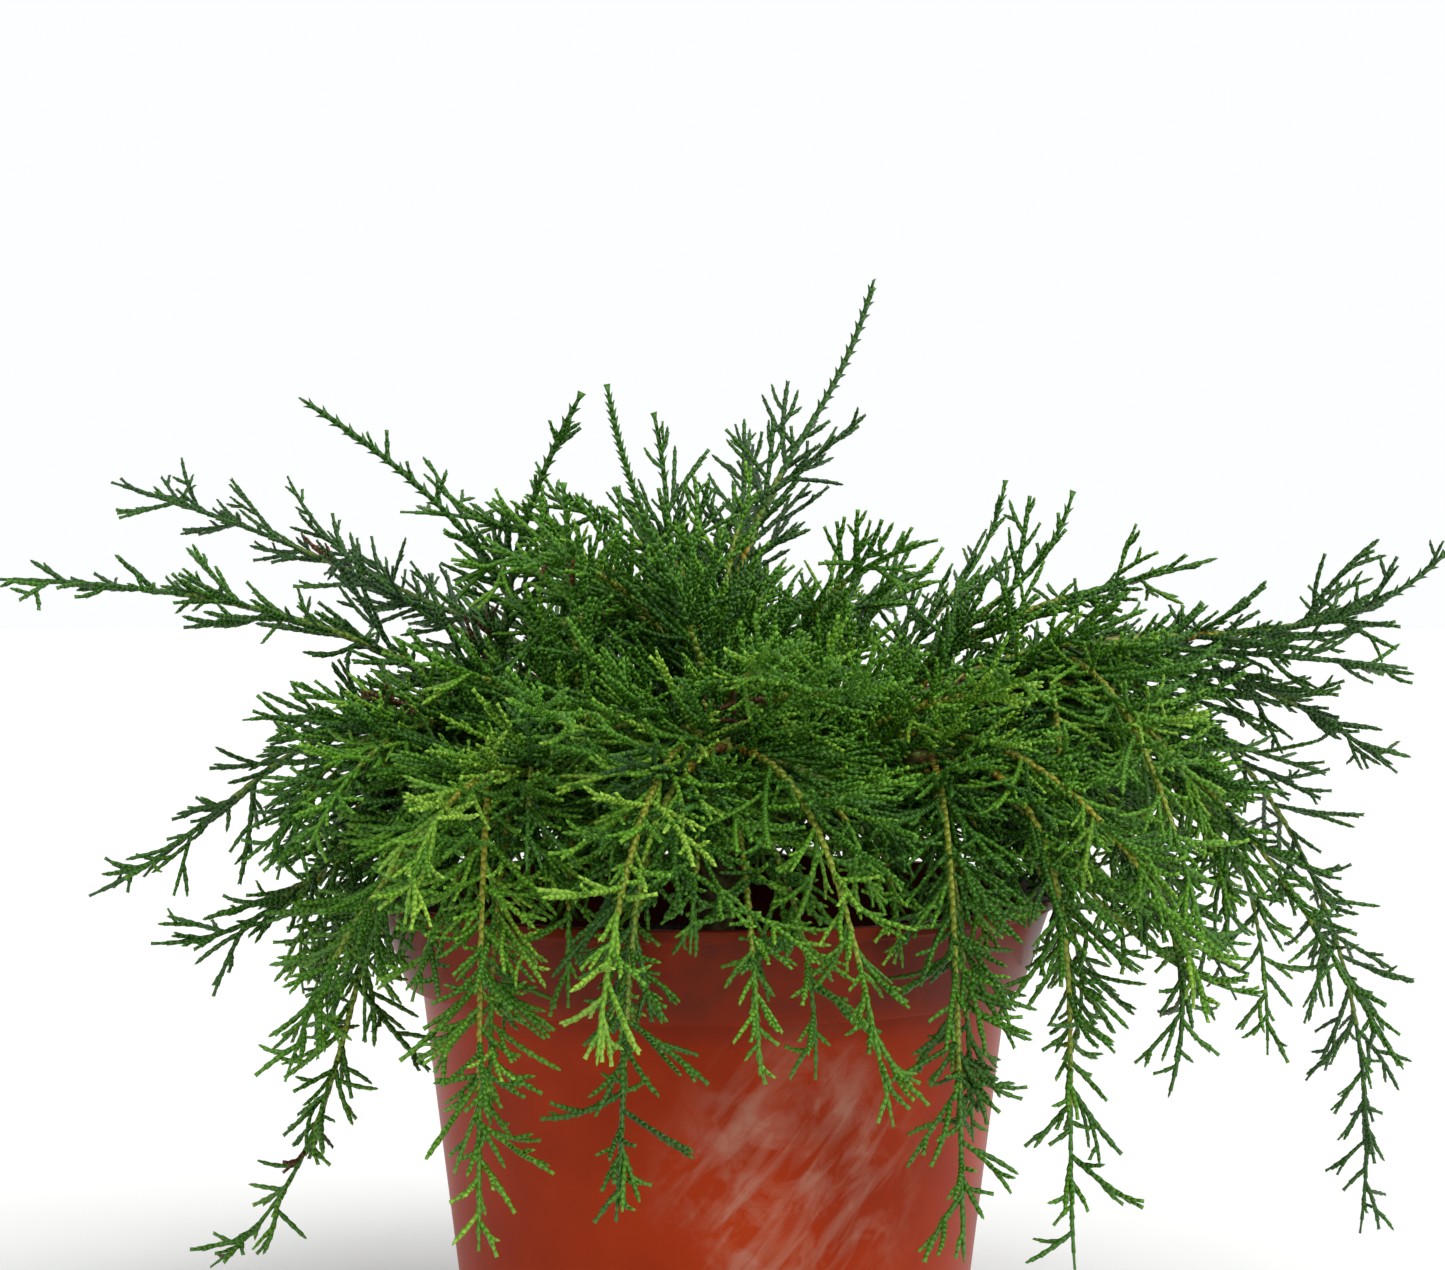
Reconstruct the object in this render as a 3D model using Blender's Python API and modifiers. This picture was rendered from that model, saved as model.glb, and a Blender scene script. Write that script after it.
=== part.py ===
"""A young Diselma (whipcord conifer) growing in a round plastic nursery pot.

The pot stands on z = 0 with its axis on Z.  A short woody stem grows out of the root ball and
splits into limbs, and every limb carries arching shoots with two rows of side twigs.  Metres, +Z up.
"""
import math
import random
from collections import namedtuple
from itertools import product

import bmesh
import bpy
import numpy as np
from mathutils import Vector

MM = 0.001

# ---- driving dimensions -------------------------------------------------------------------
# pot
POT_HEIGHT = 0.130
RIM_DIAMETER = 0.170
LIP_HEIGHT = 0.0026
LIP_OVERHANG = 0.0020
COLLAR_HEIGHT = 0.0222
COLLAR_TAPER = 0.0065
COLLAR_STEP = 0.0040
BASE_DIAMETER = 0.118
WALL = 0.0016
BASE_THICKNESS = 0.0022
DRAIN_HOLES = 4
DRAIN_HOLE_DIAMETER = 0.012
DRAIN_RING_RADIUS = 0.036

# root ball
WATERING_SPACE = 0.018
SOIL_DOME = 0.004
SOIL_EDGE_ROUND = 0.003

# stem and limbs
STEM_ROOT_DEPTH = 0.030
STEM_HEIGHT = 0.034
STEM_DIAMETER = 0.0120
STEM_TOP_DIAMETER = 0.0080
FIRST_FORK = 0.010
FORK_SPACING = 0.0028
LIMB_DIAMETER = 0.0046
LIMB_TIP_DIAMETER = 0.0030

# shoots and their side twigs
SHOOT_DIAMETER = 0.0028
SHOOT_TIP_DIAMETER = 0.0014
TWIG_DIAMETER = 0.0018
TWIG_TIP_DIAMETER = 0.0010
TWIG_LENGTH = 0.034
TWIG_SPACING = 0.0145
TWIG_FORWARD_DEGREES = 42
TWIG_BARE_BASE = 0.013
TWIG_BARE_TIP = 0.009

# clearances
FIT_GAP = 0.0003            # kept between two solids that touch on the real plant
GROWING_GAP = 0.0006        # least room between shoots that only pass one another
POT_CLEARANCE = 0.0020      # least room between a shoot and the pot or the soil

# ---- the plant's habit --------------------------------------------------------------------
# Azimuth in degrees (0 is +X, 90 is +Y).  "beyond" is how far an end lies outside the rim's
# edge and "above" how high it lies over the rim, both in millimetres.  "rise" and "finish" are
# the slopes of the first and the last of a limb or shoot, in degrees above level.
Limb = namedtuple("Limb", "name azimuth beyond above rise finish")
Shoot = namedtuple("Shoot", "name limb along azimuth beyond above rise finish")

LIMBS = [
    Limb("right", 3, 30, 62, 58, 2),
    Limb("front_right", -40, -12, 36, 42, 2),
    Limb("front", -88, -12, 40, 48, 4),
    Limb("front_left", -135, -14, 38, 42, 2),
    Limb("left", 178, -12, 44, 50, 8),
    Limb("back_left", 128, -8, 46, 50, 10),
    Limb("back", 78, -10, 46, 52, 10),
    Limb("back_right", 33, 6, 50, 50, 6),
    Limb("centre", 60, -76, 72, 86, 80),
]

SHOOTS = [
    # high on the left
    Shoot("left_reaching", "left", 0.62, -167, 87, 77, 32, 2),
    Shoot("left_short", "left", 0.50, -170, 30, 43, 0, -6),
    Shoot("left_sweeping", "left", 1.00, 176, 73, -3, -4, -24),
    Shoot("left_low", "left", 0.80, -171, 52, -11, -24, 2),
    Shoot("left_rising", "left", 0.44, -169, 16, 120, 66, 32),
    Shoot("left_erect", "left", 0.77, -152, -48, 121, 90, 52),
    # behind, on the left
    Shoot("back_left_reaching", "back_left", 0.80, 155, 98, 103, 32, 16),
    Shoot("back_left_erect", "back_left", 0.62, 149, 51, 104, 48, 62),
    Shoot("back_left_hanging", "back_left", 1.00, 138, 44, -34, 4, -78),
    # the crown
    Shoot("crown_leader", "centre", 1.00, 50, -20, 155, 70, 68),
    Shoot("crown_back", "centre", 0.72, 84, 6, 118, 48, 40),
    Shoot("crown_left", "centre", 0.55, 128, -60, 118, 40, 74),
    Shoot("crown_front", "front", 0.52, -119, -34, 121, 84, 80),
    Shoot("crown_front_short", "front_left", 0.66, -122, -20, 98, 66, 62),
    Shoot("crown_right", "centre", 0.36, -44, -14, 86, 40, 8),
    # behind, on the right
    Shoot("back_right_erect", "back_right", 0.60, 38, 14, 102, 62, 74),
    Shoot("back_right_hanging", "back_right", 1.00, 19, 100, -100, 12, -98),
    Shoot("back_right_low", "back_right", 0.84, 22, 66, -36, -8, -62),
    Shoot("back_arching", "back", 0.74, 66, 44, 66, 34, -20),
    Shoot("back_hanging", "back", 1.00, 84, 40, -40, 4, -76),
    Shoot("back_low", "back", 0.50, 108, 42, 14, 12, -48),
    Shoot("back_right_drooping", "back_right", 0.42, 52, 50, 2, 14, -60),
    Shoot("back_left_arching", "back_left", 0.42, 116, 36, 58, 36, -12),
    # the right
    Shoot("right_reaching", "right", 1.00, 6, 103, 84, 6, 44),
    Shoot("right_level", "right", 0.88, 15, 105, 53, -4, -6),
    Shoot("right_falling", "right", 0.74, 17, 106, 25, 0, -34),
    Shoot("right_drooping", "right", 0.62, -9, 82, -40, -6, -58),
    Shoot("right_erect", "right", 0.52, 12, 8, 98, 66, 74),
    Shoot("right_rising", "right", 0.39, 16, 51, 82, 50, 14),
    # the front, on the right
    Shoot("front_right_spreading", "front_right", 0.80, -14, 48, -22, -12, -12),
    Shoot("front_right_arching", "front_right", 0.59, -39, 54, -17, 42, -72),
    Shoot("front_right_hanging", "front_right", 1.00, -43, 25, -76, -8, -84),
    Shoot("front_right_inner", "front_right", 0.90, -62, 29, -68, -4, -78),
    Shoot("front_right_rising", "front_right", 0.36, -48, 28, 58, 44, 16),
    # the front
    Shoot("front_hanging_right", "front", 0.86, -72, 36, -36, 2, -70),
    Shoot("front_hanging", "front", 1.00, -101, 23, -58, -8, -82),
    Shoot("front_bright", "front", 0.66, -100, 50, -20, 22, -74),
    Shoot("front_rising_left", "front", 0.41, -110, 38, 52, 32, 14),
    Shoot("front_rising", "front", 0.33, -84, 26, 64, 58, 22),
    Shoot("front_rising_right", "front", 0.56, -72, 34, 56, 40, 12),
    # the front, on the left
    Shoot("front_left_hanging", "front_left", 1.00, -117, 26, -66, -2, -86),
    Shoot("front_left_falling", "front_left", 0.88, -164, 39, -86, -18, -36),
    Shoot("front_left_bright", "front_left", 0.54, -120, 44, 6, 10, -76),
    Shoot("front_left_rising", "front_left", 0.40, -138, 12, 64, 62, 26),
    Shoot("front_left_outer", "front_left", 0.73, -142, 36, -34, -12, -70),
]

# ---- derived sizes ------------------------------------------------------------------------
RIM_RADIUS = RIM_DIAMETER / 2
BASE_RADIUS = BASE_DIAMETER / 2
COLLAR_TOP_RADIUS = RIM_RADIUS - LIP_OVERHANG
COLLAR_FOOT_RADIUS = COLLAR_TOP_RADIUS - COLLAR_TAPER
BODY_TOP_RADIUS = COLLAR_FOOT_RADIUS - COLLAR_STEP
STEP_Z = POT_HEIGHT - COLLAR_HEIGHT
LIP_Z = POT_HEIGHT - LIP_HEIGHT
SOIL_EDGE_Z = POT_HEIGHT - WATERING_SPACE
SOIL_TOP_Z = SOIL_EDGE_Z + SOIL_DOME
SOIL_FOOT_Z = BASE_THICKNESS + FIT_GAP
STEM_TOP_Z = SOIL_TOP_Z + STEM_HEIGHT

POT_STEPS = 40              # straight pieces around the pot
SOIL_STEPS = 32             # and around the root ball
HOLE_SIDES = 12
STEM_SIDES_LEVEL = 3        # how round each kind of tube is: 0 has four sides, 1 six, 3 ten
LIMB_SIDES_LEVEL = 1
SHOOT_SIDES_LEVEL = 0
LIP_ROUND = LIP_HEIGHT * 0.4
SAMPLE_STEP = 0.001         # spacing of the points at which room is measured
FORK_LENGTH = 0.009         # stretch in which a shoot may lie close to the limb it leaves
CURVE_STEP = 0.022          # length of one straight piece of a limb or shoot
LEAST_FORK = 0.45           # sine of the narrowest fork between a limb and its shoot
FIRST_PIECE = 0.003         # length of the first straight piece
HANDLE = 0.40               # length of a curve's handles, as a share of its chord
FORK_PLACES = 8             # forks up the stem; the limbs take every FORK_TURN-th of them in turn
FORK_TURN = 3
LAST_FORK = 0.97            # share of a limb past which no shoot forks off it

# how far a limb or shoot may be moved to find room, as steps to each side and their size
SIDE_STEPS, SIDE_DEGREES = range(-4, 5), 2.0
LIFT_STEPS, LIFT_MM = range(-3, 5), 2.0
SLIDE_STEPS, SLIDE_SHARE = range(-3, 3), 0.03
RISE_STEPS, RISE_DEGREES = range(-2, 3), 8.0

# how the side twigs vary
ROLL_DEGREES = 25           # the two rows of a shoot are rolled by up to this much
FORWARD_VARIATION = 6       # degrees
SPACING_VARIATION = 0.15
TIP_TWIG_SHARE = 0.35       # a twig at the tip is this long, against one at the foot
TWIG_SHARES = (1, 0.7, 0.45)        # lengths tried in turn, where the room is short
TWIG_TILTS = (0, 25, -25, 50, -50)  # and at each length, degrees of turn about the shoot


def inner_radius(z):
    """Radius of the pot's inner wall at height z: the wall follows the outside, one WALL in."""
    if z >= STEP_Z - WALL:
        share = (z - STEP_Z + WALL) / (LIP_Z - STEP_Z + WALL)
        outer = COLLAR_FOOT_RADIUS + (COLLAR_TOP_RADIUS - COLLAR_FOOT_RADIUS) * min(share, 1)
    else:
        outer = BASE_RADIUS + (BODY_TOP_RADIUS - BASE_RADIUS) * z / STEP_Z
    return outer - WALL


# ---- small helpers ------------------------------------------------------------------------
def make_material(name, colour, roughness):
    material = bpy.data.materials.new(name)
    material.use_nodes = True
    shader = material.node_tree.nodes["Principled BSDF"]
    shader.inputs["Base Color"].default_value = (*colour, 1)
    shader.inputs["Roughness"].default_value = roughness
    shader.inputs["Metallic"].default_value = 0
    material.diffuse_color = (*colour, 1)
    return material


def add_object(name, mesh, collection, material=None):
    made = bpy.data.objects.new(name, mesh)
    collection.objects.link(made)
    if material:
        mesh.materials.clear()
        mesh.materials.append(material)
    return made


def turned(name, profile, steps, collection, material):
    """A solid turned about Z from (radius, height) points that start and end on the axis."""
    mesh = bpy.data.meshes.new(name)
    outline = bmesh.new()
    points = [outline.verts.new((radius, 0, height)) for radius, height in profile]
    for above, below in zip(points, points[1:]):
        outline.edges.new((above, below))
    outline.to_mesh(mesh)
    outline.free()
    made = add_object(name, mesh, collection, material)
    screw = made.modifiers.new("Turn", "SCREW")
    screw.steps = screw.render_steps = steps
    screw.use_merge_vertices = True
    screw.merge_threshold = 0.00005
    screw.use_smooth_shade = True
    return made


def tube_mesh(points, radii, sides_level):
    """A closed tapering tube through the points, as a mesh."""
    curve = bpy.data.curves.new("tube", "CURVE")
    curve.dimensions = "3D"
    curve.bevel_depth = 1
    curve.bevel_resolution = sides_level
    curve.use_fill_caps = True
    spline = curve.splines.new("POLY")
    spline.points.add(len(points) - 1)
    for spot, place, radius in zip(spline.points, points, radii):
        spot.co = (*place, 1)
        spot.radius = radius
    guide = bpy.data.objects.new("tube", curve)
    bpy.context.scene.collection.objects.link(guide)
    bpy.context.view_layer.update()
    mesh = bpy.data.meshes.new_from_object(guide.evaluated_get(bpy.context.evaluated_depsgraph_get()))
    bpy.data.objects.remove(guide)
    bpy.data.curves.remove(curve)
    body = bmesh.new()
    body.from_mesh(mesh)
    bmesh.ops.remove_doubles(body, verts=body.verts, dist=0.00001)
    bmesh.ops.recalc_face_normals(body, faces=body.faces)
    body.to_mesh(mesh)
    body.free()
    mesh.shade_smooth()
    return mesh


def joined_mesh(meshes):
    """One mesh that holds the given separate closed bodies; the sources are removed."""
    body = bmesh.new()
    for mesh in meshes:
        body.from_mesh(mesh)
        bpy.data.meshes.remove(mesh)
    together = bpy.data.meshes.new("together")
    body.to_mesh(together)
    body.free()
    return together


def level_heading(start, end):
    """Unit direction from start to end, seen from above."""
    heading = Vector((end.x - start.x, end.y - start.y, 0))
    return heading.normalized()


def sloped(heading, degrees):
    """The heading tilted up by the given slope."""
    slope = math.radians(degrees)
    return heading * math.cos(slope) + Vector((0, 0, math.sin(slope)))


def end_point(azimuth, beyond, above):
    """An end, from its azimuth, its distance outside the rim's edge and its height over the rim."""
    turn = math.radians(azimuth)
    reach = RIM_RADIUS + beyond * MM
    return Vector((reach * math.cos(turn), reach * math.sin(turn), POT_HEIGHT + above * MM))


def arch(start, end, rise, finish, step):
    """Points along a cubic curve that leaves start at one slope and meets end at the other.  A
    short first piece keeps the flat end square to the first slope."""
    heading = level_heading(start, end)
    handle = HANDLE * (end - start).length
    first = start + sloped(heading, rise) * handle
    last = end - sloped(heading, finish) * handle
    count = max(3, round((end - start).length / step))
    points = [start, start + sloped(heading, rise) * FIRST_PIECE]
    for index in range(1, count + 1):
        t = index / count
        s = 1 - t
        points.append(start * s**3 + first * (3 * s * s * t) + last * (3 * s * t * t) + end * t**3)
    return points


def taper(first, last, count):
    """Radii that go evenly from one diameter to the other."""
    return [(first + (last - first) * index / (count - 1)) / 2 for index in range(count)]


def along_path(points, share):
    """The place and direction at a share of a path's length."""
    lengths = [(b - a).length for a, b in zip(points, points[1:])]
    left = share * sum(lengths)
    for a, b, length in zip(points, points[1:], lengths):
        if left <= length or b is points[-1]:
            return a.lerp(b, min(left / length, 1)), (b - a).normalized()
        left -= length


# ---- room between neighbours --------------------------------------------------------------
class Room:
    """Samples of every tube placed so far, each with its radius, and the pot's own surface."""

    def __init__(self):
        self.centres = np.empty((0, 3))
        self.radii = np.empty(0)
        self.owners = []
        skin = [(BASE_RADIUS, 0), (BODY_TOP_RADIUS, STEP_Z), (COLLAR_FOOT_RADIUS, STEP_Z),
                (COLLAR_TOP_RADIUS, LIP_Z), (RIM_RADIUS, LIP_Z), (RIM_RADIUS, POT_HEIGHT),
                (inner_radius(POT_HEIGHT), POT_HEIGHT), (inner_radius(SOIL_EDGE_Z), SOIL_EDGE_Z),
                (0, SOIL_TOP_Z)]
        self.skin = [(np.array(a), np.array(b)) for a, b in zip(skin, skin[1:])]

    @staticmethod
    def samples(points, radii):
        """Centres and radii of a tube, a SAMPLE_STEP apart."""
        centres, sizes = [], []
        for (a, b), (ra, rb) in zip(zip(points, points[1:]), zip(radii, radii[1:])):
            count = max(1, math.ceil((b - a).length / SAMPLE_STEP))
            for index in range(count):
                centres.append(a.lerp(b, index / count))
                sizes.append(ra + (rb - ra) * index / count)
        centres.append(points[-1])
        sizes.append(radii[-1])
        return np.array(centres), np.array(sizes)

    def add(self, owner, points, radii):
        """Takes up the room of a tube that has been placed."""
        centres, sizes = self.samples(points, radii)
        self.centres = np.vstack([self.centres, centres])
        self.radii = np.concatenate([self.radii, sizes])
        self.owners += [owner] * len(sizes)

    def clear_of_pot(self, points, radii):
        """True where the tube keeps POT_CLEARANCE from the pot and the soil."""
        centres, sizes = self.samples(points, radii)
        places = np.stack([np.hypot(centres[:, 0], centres[:, 1]), centres[:, 2]], axis=1)
        for a, b in self.skin:
            share = np.clip((places - a) @ (b - a) / ((b - a) @ (b - a)), 0, 1)
            nearest = a + share[:, None] * (b - a)
            if (np.linalg.norm(places - nearest, axis=1) < sizes + POT_CLEARANCE).any():
                return False
        return True

    def clear_of_plant(self, points, radii, parent, bare, edge_share=None):
        """True where the tube keeps its room.  Its first stretch may come as close to its parent
        as its flat end does: edge_share is how much of the radius that end turns to the parent,
        and None is for a tube that carries on from its parent's own end."""
        if not len(self.radii):
            return True
        centres, sizes = self.samples(points, radii)
        distances = np.linalg.norm(centres[:, None] - self.centres[None], axis=2) - self.radii[None]
        gaps = distances - sizes[:, None] - GROWING_GAP
        near_start = np.linalg.norm(centres - centres[0], axis=1) < bare
        of_parent = np.array([owner == parent for owner in self.owners])
        forked = np.ix_(near_start, of_parent)
        if edge_share is None:
            gaps[forked] = 1
        else:
            gaps[forked] = distances[forked] - sizes[near_start, None] * edge_share - FIT_GAP * 0.8
        return bool((gaps > 0).all())


def leave_parent(place, direction, parent_direction, parent_radius, radius):
    """Where a tube starts so that its flat end just clears the round side of its parent, and how
    much of its radius that end turns to the parent."""
    turn = direction.angle(parent_direction)
    lean = max(math.sin(turn), LEAST_FORK)
    edge_share = abs(math.cos(turn))
    return place + direction * (parent_radius + FIT_GAP + radius * edge_share) / lean, edge_share


# ---- the solids ---------------------------------------------------------------------------
def make_pot(collection, cutters, material):
    """A thin turned shell: flat base, tapering body, a step out to the collar, a rolled lip."""
    floor_radius = inner_radius(BASE_THICKNESS)
    profile = [
        (0, BASE_THICKNESS),
        (floor_radius, BASE_THICKNESS),
        (inner_radius(STEP_Z - WALL - FIT_GAP), STEP_Z - WALL - FIT_GAP),
        (inner_radius(STEP_Z), STEP_Z),
        (inner_radius(POT_HEIGHT), POT_HEIGHT - LIP_ROUND / 2),
        (inner_radius(POT_HEIGHT) + WALL * 0.4, POT_HEIGHT),
        (RIM_RADIUS - LIP_ROUND, POT_HEIGHT),
        (RIM_RADIUS, POT_HEIGHT - LIP_ROUND),
        (RIM_RADIUS - LIP_OVERHANG * 0.2, LIP_Z),
        (COLLAR_TOP_RADIUS, LIP_Z - LIP_ROUND / 2),
        (COLLAR_FOOT_RADIUS, STEP_Z),
        (BODY_TOP_RADIUS, STEP_Z - WALL * 0.5),
        (BASE_RADIUS + WALL * 0.2, WALL),
        (BASE_RADIUS - WALL, 0),
        (0, 0),
    ]
    pot = turned("pot", profile, POT_STEPS, collection, material)
    for index in range(DRAIN_HOLES):
        turn = math.tau * (index + 0.5) / DRAIN_HOLES
        bpy.ops.mesh.primitive_cylinder_add(
            vertices=HOLE_SIDES, radius=DRAIN_HOLE_DIAMETER / 2, depth=BASE_THICKNESS * 4,
            location=(DRAIN_RING_RADIUS * math.cos(turn), DRAIN_RING_RADIUS * math.sin(turn), 0))
        hole = bpy.context.object
        hole.name = f"drain_cutter_{index + 1}"
        hole.hide_render = True
        hole.display_type = "WIRE"
        for home in list(hole.users_collection):
            home.objects.unlink(hole)
        cutters.objects.link(hole)
        cut = pot.modifiers.new(f"Drain {index + 1}", "BOOLEAN")
        cut.operation = "DIFFERENCE"
        cut.object = hole


def make_soil(collection, material):
    """The root ball: it fills the pot to the watering space and has a socket for the stem."""
    socket = STEM_DIAMETER / 2 + FIT_GAP
    socket_floor = SOIL_TOP_Z - STEM_ROOT_DEPTH - FIT_GAP
    edge = inner_radius(SOIL_EDGE_Z) - FIT_GAP
    shoulder_z = SOIL_EDGE_Z - SOIL_EDGE_ROUND
    profile = [
        (0, socket_floor),
        (socket, socket_floor),
        (socket, SOIL_TOP_Z),
        (edge * 0.55, SOIL_TOP_Z - SOIL_DOME * 0.3),
        (edge - SOIL_EDGE_ROUND, SOIL_EDGE_Z),
        (inner_radius(shoulder_z) - 2 * FIT_GAP, shoulder_z),
        (inner_radius(STEP_Z) - 3 * FIT_GAP, STEP_Z + 3 * FIT_GAP),
        (BODY_TOP_RADIUS - WALL - 3 * FIT_GAP, STEP_Z - WALL),
        (inner_radius(SOIL_FOOT_Z) - 2 * FIT_GAP, SOIL_FOOT_Z),
        (0, SOIL_FOOT_Z),
    ]
    turned("root_ball", profile, SOIL_STEPS, collection, material)


def make_stem(collection, material, room):
    """The woody stem: it stands in the root ball's socket and narrows to where the limbs fork."""
    heights = (SOIL_TOP_Z - STEM_ROOT_DEPTH, SOIL_TOP_Z, STEM_TOP_Z - STEM_HEIGHT / 3, STEM_TOP_Z)
    points = [Vector((0, 0, z)) for z in heights]
    radii = [STEM_DIAMETER / 2, STEM_DIAMETER / 2, STEM_TOP_DIAMETER / 2, STEM_TOP_DIAMETER / 2]
    add_object("stem", tube_mesh(points, radii, STEM_SIDES_LEVEL), collection, material)
    room.add("stem", points, radii)


def nudges():
    """Small changes, least first, for a shoot that has to find room: its azimuth in degrees,
    its end's height in millimetres, its place along the limb, and its first slope in degrees."""
    options = [(SIDE_DEGREES * side, LIFT_MM * lift, SLIDE_SHARE * slide, RISE_DEGREES * rise)
               for side in SIDE_STEPS for lift in LIFT_STEPS
               for slide in SLIDE_STEPS for rise in RISE_STEPS]
    return sorted(options, key=lambda nudge: (
        nudge[0]**2 + nudge[1]**2 + (100 * nudge[2])**2 + (nudge[3] / 3)**2, nudge))


def placed_limb(limb, fork_place, room):
    """A limb's points: it leaves the stem at its own fork and finds a way clear of the others."""
    for side, lift, _, _ in nudges():
        end = end_point(limb.azimuth + side, limb.beyond, limb.above + lift)
        if limb.name == "centre":
            lean = math.radians(90 - limb.rise)
            start = Vector((0, 0, STEM_TOP_Z + FIT_GAP + LIMB_DIAMETER / 2 * math.sin(lean)))
            edge_share = None
        else:
            fork = Vector((0, 0, SOIL_TOP_Z + FIRST_FORK + FORK_SPACING * fork_place))
            direction = sloped(level_heading(fork, end), limb.rise)
            start, edge_share = leave_parent(
                fork, direction, Vector((0, 0, 1)), STEM_DIAMETER / 2, LIMB_DIAMETER / 2)
        points = arch(start, end, limb.rise, limb.finish, CURVE_STEP)
        sizes = taper(LIMB_DIAMETER, LIMB_TIP_DIAMETER, len(points))
        if not room.clear_of_pot(points, sizes):
            continue
        if room.clear_of_plant(points, sizes, "stem", FORK_LENGTH, edge_share):
            return points, sizes
    raise ValueError(f"no room for limb {limb.name}")


def placed_shoot(shoot, limb_points, room):
    """A shoot's points: it leaves its limb, arches to its end and keeps clear of all the others."""
    parent = f"limb_{shoot.limb}"
    for side, lift, slide, steeper in nudges():
        along = shoot.along if shoot.along >= 1 else min(shoot.along + slide, LAST_FORK)
        place, limb_direction = along_path(limb_points, along)
        limb_radius = (LIMB_DIAMETER + (LIMB_TIP_DIAMETER - LIMB_DIAMETER) * along) / 2
        end = end_point(shoot.azimuth + side, shoot.beyond, shoot.above + lift)
        rise = shoot.rise + steeper
        direction = sloped(level_heading(place, end), rise)
        if shoot.along >= 1:
            turn = direction.angle(limb_direction)
            start = place + limb_direction * (FIT_GAP + SHOOT_DIAMETER / 2 * math.sin(turn))
            edge_share = None
        else:
            start, edge_share = leave_parent(
                place, direction, limb_direction, limb_radius, SHOOT_DIAMETER / 2)
        points = arch(start, end, rise, shoot.finish, CURVE_STEP)
        sizes = taper(SHOOT_DIAMETER, SHOOT_TIP_DIAMETER, len(points))
        if not room.clear_of_pot(points, sizes):
            continue
        if room.clear_of_plant(points, sizes, parent, FORK_LENGTH, edge_share):
            return points, sizes
    raise ValueError(f"no room for shoot {shoot.name}")


def twig_tubes(name, points, room, dice):
    """Side twigs in two rows along a shoot, each turned or shortened until it has room."""
    length = sum((b - a).length for a, b in zip(points, points[1:]))
    tubes = []
    distance, side = TWIG_BARE_BASE, dice.choice((-1, 1))
    roll = dice.uniform(-ROLL_DEGREES, ROLL_DEGREES)
    while distance < length - TWIG_BARE_TIP:
        place, direction = along_path(points, distance / length)
        across = direction.cross(Vector((0, 0, 1)))
        if across.length < 0.3:
            across = direction.cross(Vector((0, 1, 0)))
        across.normalize()
        over = across.cross(direction)
        reach = TWIG_LENGTH * (TIP_TWIG_SHARE + (1 - TIP_TWIG_SHARE) * (1 - distance / length))
        reach *= dice.uniform(0.85, 1.1)
        variation = dice.uniform(-FORWARD_VARIATION, FORWARD_VARIATION)
        forward = math.radians(TWIG_FORWARD_DEGREES + variation)
        start = place - direction * SHOOT_DIAMETER * 0.2
        for share, tilt in product(TWIG_SHARES, TWIG_TILTS):
            turn = math.radians(roll + tilt)
            outward = across * side * math.cos(turn) + over * math.sin(turn)
            twig_direction = direction * math.cos(forward) + outward * math.sin(forward)
            tip = start + twig_direction * reach * share
            radii = [TWIG_DIAMETER / 2, TWIG_TIP_DIAMETER / 2]
            free = place + twig_direction * SHOOT_DIAMETER
            if not room.clear_of_pot([free, tip], radii):
                continue
            if room.clear_of_plant([free, tip], radii, name, 1):
                tubes.append(tube_mesh([start, tip], radii, SHOOT_SIDES_LEVEL))
                room.add(name, [free, tip], radii)
                break
        distance += TWIG_SPACING * dice.uniform(1 - SPACING_VARIATION, 1 + SPACING_VARIATION)
        side = -side
    return tubes


def make_shoot(shoot, points, radii, room, collection, cutters, material, dice):
    """One shoot with its side twigs, grown together into a single solid."""
    name = f"shoot_{shoot.name}"
    tubes = twig_tubes(name, points, room, dice)
    made = add_object(name, tube_mesh(points, radii, SHOOT_SIDES_LEVEL), collection, material)
    twigs = add_object(f"twigs_{shoot.name}", joined_mesh(tubes), cutters, material)
    twigs.hide_render = True
    twigs.display_type = "WIRE"
    grown = made.modifiers.new("Twigs", "BOOLEAN")
    grown.operation = "UNION"
    grown.object = twigs


def build():
    for old in list(bpy.data.objects):
        bpy.data.objects.remove(old)
    parts = bpy.data.collections.new("potted_diselma")
    cutters = bpy.data.collections.new("cutters")
    bpy.context.scene.collection.children.link(parts)
    bpy.context.scene.collection.children.link(cutters)

    plastic = make_material("brick_red_pot_plastic", (0.42, 0.075, 0.030), 0.55)
    compost = make_material("peat_compost", (0.035, 0.022, 0.015), 0.95)
    bark = make_material("conifer_bark", (0.16, 0.085, 0.045), 0.85)
    foliage = make_material("scale_leaf_foliage", (0.055, 0.17, 0.030), 0.55)

    room = Room()
    make_pot(parts, cutters, plastic)
    make_soil(parts, compost)
    make_stem(parts, bark, room)

    limb_points = {}
    for order, limb in enumerate(LIMBS):
        points, radii = placed_limb(limb, order * FORK_TURN % FORK_PLACES, room)
        add_object(f"limb_{limb.name}", tube_mesh(points, radii, LIMB_SIDES_LEVEL), parts, bark)
        room.add(f"limb_{limb.name}", points, radii)
        limb_points[limb.name] = points

    placed = []
    for shoot in SHOOTS:
        points, radii = placed_shoot(shoot, limb_points[shoot.limb], room)
        room.add(f"shoot_{shoot.name}", points, radii)
        placed.append((shoot, points, radii))
    dice = random.Random(7)
    for shoot, points, radii in placed:
        make_shoot(shoot, points, radii, room, parts, cutters, foliage, dice)


build()
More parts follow.
